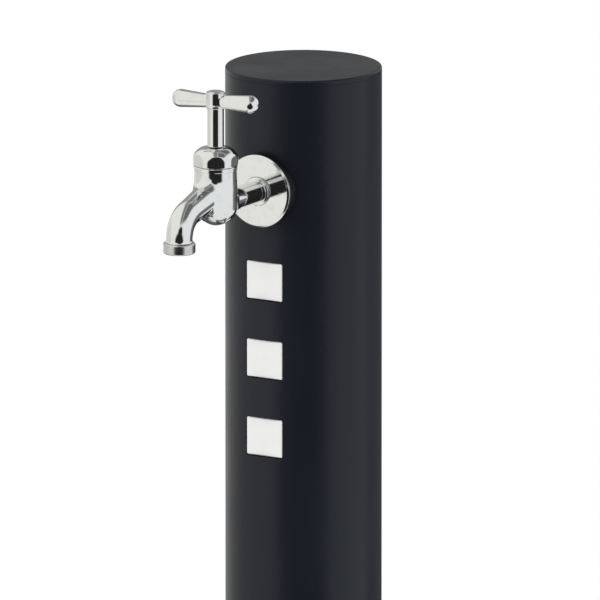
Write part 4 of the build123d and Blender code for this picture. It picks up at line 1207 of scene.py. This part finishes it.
class STANDPIPE_OT_saddle(bpy.types.Operator):
    """Makes the packing piece between the round post and the flat flange"""
    bl_idname = "standpipe.saddle"
    bl_label = "Outer saddle"

    def execute(self, context):
        post, _ = settings_of(context)
        turns = np.arange(192) / 192 * FULL_TURN

        def loop(reach, forward):
            x, rise = reach * np.cos(turns), reach * np.sin(turns)
            front = np.sqrt(post.radius ** 2 - x ** 2) if forward is None else np.full_like(x, forward)
            return np.stack((x, -front, post.tap_height + rise), axis=1)

        loops = [loop(*place) for place in SADDLE_LOOPS]
        mesh = flat_sided_mesh("moulded_saddle", *loops_shell(loops, closed=True), crease=30)
        place_piece("moulded_saddle", mesh, "black_plastic", "standpipe", "outer_saddle")
        return {"FINISHED"}


class STANDPIPE_OT_flange(bpy.types.Operator):
    """Makes the round flange with its bevelled edge"""
    bl_idname = "standpipe.flange"
    bl_label = "Flange"

    def execute(self, context):
        post, tap = settings_of(context)
        front, radius = tap.flange_front, tap.flange_radius
        back = front - FLANGE_THICKNESS
        shell = turned([
            (FLANGE_BORE, back, 0.15), (radius, back, 0.2), (radius, back + FLANGE_RIM, 0.3),
            (radius - FLANGE_BEVEL, front, 0.35), (FLANGE_BORE, front, 0.3),
        ], (0, 0, post.tap_height), AXIS_FORWARD, 224, 5)
        place_piece("plated_flange", shell, "chrome_plate", "standpipe", "escutcheon")
        return {"FINISHED"}


class STANDPIPE_OT_casting(bpy.types.Operator):
    """Makes the tap's casting: chamber, neck and bent spout, hollow inside, with its threads"""
    bl_idname = "standpipe.casting"
    bl_label = "Tap casting"

    def execute(self, context):
        post, tap = settings_of(context)
        shape = TapShape(tap)
        start, forward = shape.thread_start, tap.spout_reach
        corners = ((-18.4, -forward - 12.1, -20.6), (18.4, start + 2.5, 29))
        body = shell_of(shape.casting, *corners, CASTING_CELL)
        rim, top, low = tap.rim_radius, tap.body_top, -tap.outlet_drop
        collar = turned([
            (UPPER_BORE, 25, 0.1), (rim - 1.3, 25, 0.1), (rim - 1.3, top - 4, 0.1), (rim, top - 2.75, 0.3),
            (rim, top - 0.5, 0.25), (rim - 0.5, top, 0.25), (NUT_THREAD_RADIUS, top, 0.1),
            (NUT_THREAD_RADIUS, top + NUT_THREAD, 0.4), (UPPER_BORE, top + NUT_THREAD, 0.2),
        ])
        nose = turned([
            (LOWER_BORE, low + NOSE_LOW, 0.1), (NOSE_RADIUS, low + NOSE_LOW, 0.4),
            (NOSE_RADIUS, low + NOSE_TOP, 0.1), (LOWER_BORE, low + NOSE_TOP, 0.1),
        ], (0, -forward, 0))
        thread = shank_thread(start, start + PIPE_THREAD_LENGTH, **PIPE_THREAD)
        shell = moved(together(body, collar, nose, thread), tap_place(post, tap))
        place_piece("cast_tap_body", shell, "chrome_plate", "standpipe", "tap_body")
        return {"FINISHED"}


class STANDPIPE_OT_outlet(bpy.types.Operator):
    """Makes the collar on the spout's end"""
    bl_idname = "standpipe.outlet"
    bl_label = "Outlet collar"

    def execute(self, context):
        post, tap = settings_of(context)
        low, radius = -tap.outlet_drop, tap.collar_radius
        top, floor = low + tap.collar_height, low + COLLAR_FLOOR
        x, y, height = tap_place(post, tap)
        shell = turned([
            (LOWER_BORE, low, 0.25), (radius, low, 1.4), (radius, top, 1.4), (COLLAR_BORE, top, 0.1),
            (COLLAR_BORE, floor, 0.1), (LOWER_BORE, floor, 0.1),
        ], (x, y - tap.spout_reach, height), around=128)
        place_piece("outlet_ring", shell, "chrome_plate", "standpipe", "outlet_collar", finish="chrome_ring")
        return {"FINISHED"}


class STANDPIPE_OT_cover_nut(bpy.types.Operator):
    """Makes the domed hexagon nut over the packing"""
    bl_idname = "standpipe.cover_nut"
    bl_label = "Cover nut"

    def execute(self, context):
        post, tap = settings_of(context)
        shell = shell_of(cover_nut_field(tap), *NUT_BOX, NUT_CELL, evening=2)
        place_piece("domed_nut", moved(shell, tap_place(post, tap)), "chrome_plate", "standpipe", "cover_nut")
        return {"FINISHED"}


class STANDPIPE_OT_handle(bpy.types.Operator):
    """Makes the T-handle and the flat cap in its hub"""
    bl_idname = "standpipe.handle"
    bl_label = "Handle"

    def execute(self, context):
        post, tap = settings_of(context)
        reach, top, place = tap.bar_half_length + 1.2, tap.hub_top + 0.5, tap_place(post, tap)
        corners = ((-reach, -8.2, HANDLE_LOW - 0.9), (reach, 8.2, tap.hub_top + 0.9))
        shell = moved(shell_of(handle_field(tap), *corners, HANDLE_CELL), place, tap.handle_turn)
        place_piece("plated_handle", shell, "chrome_plate", "handle_spindle", "handle")
        radius, low = HUB_CAP_RADIUS, top - HUB_CAP_DEPTH
        cap = turned([(0, low, 0), (radius, low, 0.1), (radius, top, 0.5), (0, top, 0)], around=96)
        place_piece("plated_hub_cap", moved(cap, place), "chrome_plate", "handle_spindle", "hub_cap")
        return {"FINISHED"}


INNER_PIECES = (
    "foot_plate", "tile_bed_1", "tile_bed_2", "tile_bed_3", "tile_tray_1", "tile_tray_2", "tile_tray_3",
    "inner_saddle", "lock_nut", "elbow_fitting", "riser_pipe", "pipe_insulation", "inlet_socket",
    "pipe_guide", "outlet_seal", "packing_seat", "spindle_packing", "valve_jumper", "valve_washer",
    "washer_nut", "spindle", "handle_screw",
)


class STANDPIPE_OT_inner_pieces(bpy.types.Operator):
    """Finishes the pieces inside the post and the tap from their CAD shapes"""
    bl_idname = "standpipe.inner_pieces"
    bl_label = "Inner pieces"

    def execute(self, context):
        slots = {part["node"]: part["material_slot"] for part in frame["record"]["subparts"]}
        for node in INNER_PIECES:
            body = frame["nodes"][node]["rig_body"]
            place_piece(f"finished_{node}", smooth_copy(node), slots[node], body, node)
        return {"FINISHED"}


# Stage

def view_axes(azimuth, elevation):
    """Back, right and up of a camera at an angle round the object."""
    back = Vector((
        math.sin(azimuth) * math.cos(elevation), -math.cos(azimuth) * math.cos(elevation), math.sin(elevation)
    ))
    right = Vector((math.cos(azimuth), math.sin(azimuth), 0))
    return back, right, back.cross(right)


CAMERA_AZIMUTH = math.radians(31.3)
CAMERA_ELEVATION = math.radians(12.3)
WHITE = (1, 1, 1, 1)
# Soft dark patches of the mirrored room, in degrees from the camera's heading and from the horizon:
# turn, rise, half width at the soft edge, half width of the full dark, and how dark.
ROOM_PATCHES = (
    (-1, -20, 42, 30, 1.0), (4, 12, 22, 14, 1.0), (-112, -12, 40, 24, 0.2), (180, 12, 34, 20, 0.65),
    (180, -52, 44, 32, 0.9),
)


def mix_shader(tree, share, first, second):
    """A shader between two, by a share."""
    return add_node(tree, "ShaderNodeMixShader", inputs={0: share, 1: first, 2: second}).outputs[0]


def studio_world():
    """White for the camera, plain light for surfaces, and for reflections a white room with soft dark
    flags, so that polished metal has something to show."""
    world = bpy.data.worlds.new("studio")
    tree = empty_tree(world)
    path = add_node(tree, "ShaderNodeLightPath").outputs
    heading = add_node(tree, "ShaderNodeTexCoord").outputs["Generated"]

    def along(direction):
        dot = add_node(tree, "ShaderNodeVectorMath", {"operation": "DOT_PRODUCT"}, {0: heading, 1: direction})
        return dot.outputs["Value"]

    def background(tone, strength):
        return add_node(tree, "ShaderNodeBackground", inputs={"Color": tone, "Strength": strength}).outputs[0]

    flags = []
    for turn, rise, wide, edge, depth in ROOM_PATCHES:
        near = along(view_axes(CAMERA_AZIMUTH + math.radians(turn), math.radians(rise))[0])
        limits = (math.cos(math.radians(wide)), math.cos(math.radians(edge)))
        flags.append(spread(tree, near, *limits, 0.0, depth, "SMOOTHSTEP"))
    side = along(view_axes(CAMERA_AZIMUTH, 0)[1])
    height = add_node(tree, "ShaderNodeSeparateXYZ", inputs={0: heading}).outputs[2]
    overhead = spread(tree, height, 0.52, 0.7)
    beside = spread(tree, along(view_axes(CAMERA_AZIMUTH + math.radians(142), 0)[0]), 0.74, 0.84)
    for value, middle, half, edge, depth, gate in (
        (side, 0.0, 0.08, 0.2, 0.76, overhead), (side, 0.4, 0.2, 0.34, 0.85, overhead),
        (height, -0.21, 0.1, 0.19, 0.85, beside),
    ):
        away = maths(tree, "ABSOLUTE", maths(tree, "SUBTRACT", value, middle))
        flags.append(maths(tree, "MULTIPLY", spread(tree, away, half, edge, depth, 0.0), gate))
    dark = flags[0]
    for flag in flags[1:]:
        dark = maths(tree, "MAXIMUM", dark, flag)
    room = maths(tree, "MULTIPLY_ADD", dark, -0.92, 0.94)
    tone = mixed(tree, spread(tree, side, -0.8, 0.8), (1, 1, 0.945), (0.97, 0.985, 1))
    shine = maths(tree, "MAXIMUM", path["Is Glossy Ray"], path["Is Transmission Ray"])
    unseen = mix_shader(tree, shine, background(WHITE, 0.86), background(tone, room))
    surface = mix_shader(tree, path["Is Camera Ray"], unseen, background(WHITE, 1.0))
    add_node(tree, "ShaderNodeOutputWorld", inputs={"Surface": surface})
    bpy.context.scene.world = world


def studio_floor(rgb):
    """A pale floor that turns to plain white for the camera, and clear for mirrors, away from the object."""
    mesh = bpy.data.meshes.new("floor")
    corners = [(x * FLOOR_HALF, y * FLOOR_HALF, 0) for x, y in ((-1, -1), (1, -1), (1, 1), (-1, 1))]
    mesh.from_pydata(corners, [], [(0, 1, 2, 3)])
    floor = add_object("floor", mesh)
    material = bpy.data.materials.new("painted_floor")
    tree = empty_tree(material)
    place = add_node(tree, "ShaderNodeTexCoord").outputs["Object"]
    far = add_node(tree, "ShaderNodeVectorMath", {"operation": "LENGTH"}, {0: place}).outputs["Value"]
    path = add_node(tree, "ShaderNodeLightPath").outputs
    surface = add_node(tree, "ShaderNodeBsdfDiffuse", inputs={"Color": (*rgb, 1)}).outputs[0]
    white = add_node(tree, "ShaderNodeEmission", inputs={"Color": WHITE, "Strength": 1.0}).outputs[0]
    clear = add_node(tree, "ShaderNodeBsdfTransparent").outputs[0]
    for ray, start, end, away in (("Is Camera Ray", 0.7, 2.4, white), ("Is Glossy Ray", 0.2, 0.6, clear)):
        share = spread(tree, far, start, end, kind="SMOOTHSTEP")
        surface = mix_shader(tree, maths(tree, "MULTIPLY", path[ray], share), surface, away)
    add_node(tree, "ShaderNodeOutputMaterial", inputs={"Surface": surface})
    mesh.materials.append(material)


def facing(name, data, azimuth, elevation, target, distance):
    """A lamp or camera at a distance from a target, facing it."""
    back, _, _ = view_axes(azimuth, elevation)
    thing = add_object(name, data)
    thing.location = target + back * distance
    thing.rotation_mode = "QUATERNION"
    thing.rotation_quaternion = back.to_track_quat("Z", "Y")
    return thing


def soft_light(name, turn, rise, distance, side, power):
    """A square soft light that faces the tap, placed by its angle from the camera."""
    light = bpy.data.lights.new(name, "AREA")
    light.shape, light.size, light.energy = "SQUARE", side, power
    azimuth = CAMERA_AZIMUTH + math.radians(turn)
    lamp = facing(name, light, azimuth, math.radians(rise), Vector((0, 0, LIGHT_TARGET)), distance)
    lamp.visible_glossy = False


def photo_camera():
    """A long lens at the photo's viewing angle."""
    lens, sensor, frame_width = 1400.0, 36.0, 0.4374
    camera = bpy.data.cameras.new("camera")
    camera.lens, camera.sensor_width, camera.clip_end = lens, sensor, 100.0
    _, right, up = view_axes(CAMERA_AZIMUTH, CAMERA_ELEVATION)
    target = Vector((0, 0, 1.118)) - right * 0.0026 - up * 0.0908
    distance = frame_width * lens / sensor
    bpy.context.scene.camera = facing("camera", camera, CAMERA_AZIMUTH, CAMERA_ELEVATION, target, distance)


class STANDPIPE_OT_stage(bpy.types.Operator):
    """Makes the floor, the light and the camera"""
    bl_idname = "standpipe.stage"
    bl_label = "Stage"

    def execute(self, context):
        studio_world()
        studio_floor(tuple(context.scene.standpipe_finish.floor))
        soft_light("key_light", 62, 30, 2.6, 1.5, 14)
        soft_light("fill_light", -70, 25, 2.8, 1.2, 14)
        photo_camera()
        context.scene.view_settings.view_transform = "Standard"
        return {"FINISHED"}


class STANDPIPE_PT_panel(bpy.types.Panel):
    """Lists the standpipe's settings and pieces"""
    bl_idname = "STANDPIPE_PT_panel"
    bl_label = "Garden standpipe"
    bl_space_type = "VIEW_3D"
    bl_region_type = "UI"
    bl_category = "Standpipe"

    def draw(self, context):
        layout = self.layout
        for piece in PIECES:
            layout.operator(piece.bl_idname)
        for name in GROUPS:
            group, box = getattr(context.scene, name), layout.box()
            for setting in type(group).__annotations__:
                box.prop(group, setting)


GROUPS = {
    "standpipe_post": StandpipePostSettings, "standpipe_tap": StandpipeTapSettings,
    "standpipe_finish": StandpipeFinishSettings,
}
PIECES = (
    STANDPIPE_OT_tube, STANDPIPE_OT_cap, STANDPIPE_OT_cap_screws, STANDPIPE_OT_tiles,
    STANDPIPE_OT_saddle, STANDPIPE_OT_flange, STANDPIPE_OT_casting, STANDPIPE_OT_outlet,
    STANDPIPE_OT_cover_nut, STANDPIPE_OT_handle, STANDPIPE_OT_inner_pieces, STANDPIPE_OT_stage,
)
CLASSES = (*GROUPS.values(), *PIECES, STANDPIPE_PT_panel)


def register():
    for one in CLASSES:
        bpy.utils.register_class(one)
    for name, group in GROUPS.items():
        setattr(bpy.types.Scene, name, bpy.props.PointerProperty(type=group))


def unregister():
    for name in GROUPS:
        delattr(bpy.types.Scene, name)
    for one in reversed(CLASSES):
        bpy.utils.unregister_class(one)


def main():
    register()
    for piece in PIECES:
        group, name = piece.bl_idname.split(".")
        getattr(getattr(bpy.ops, group), name)()
    bpy.context.view_layer.update()


if __name__ == "__main__":
    main()
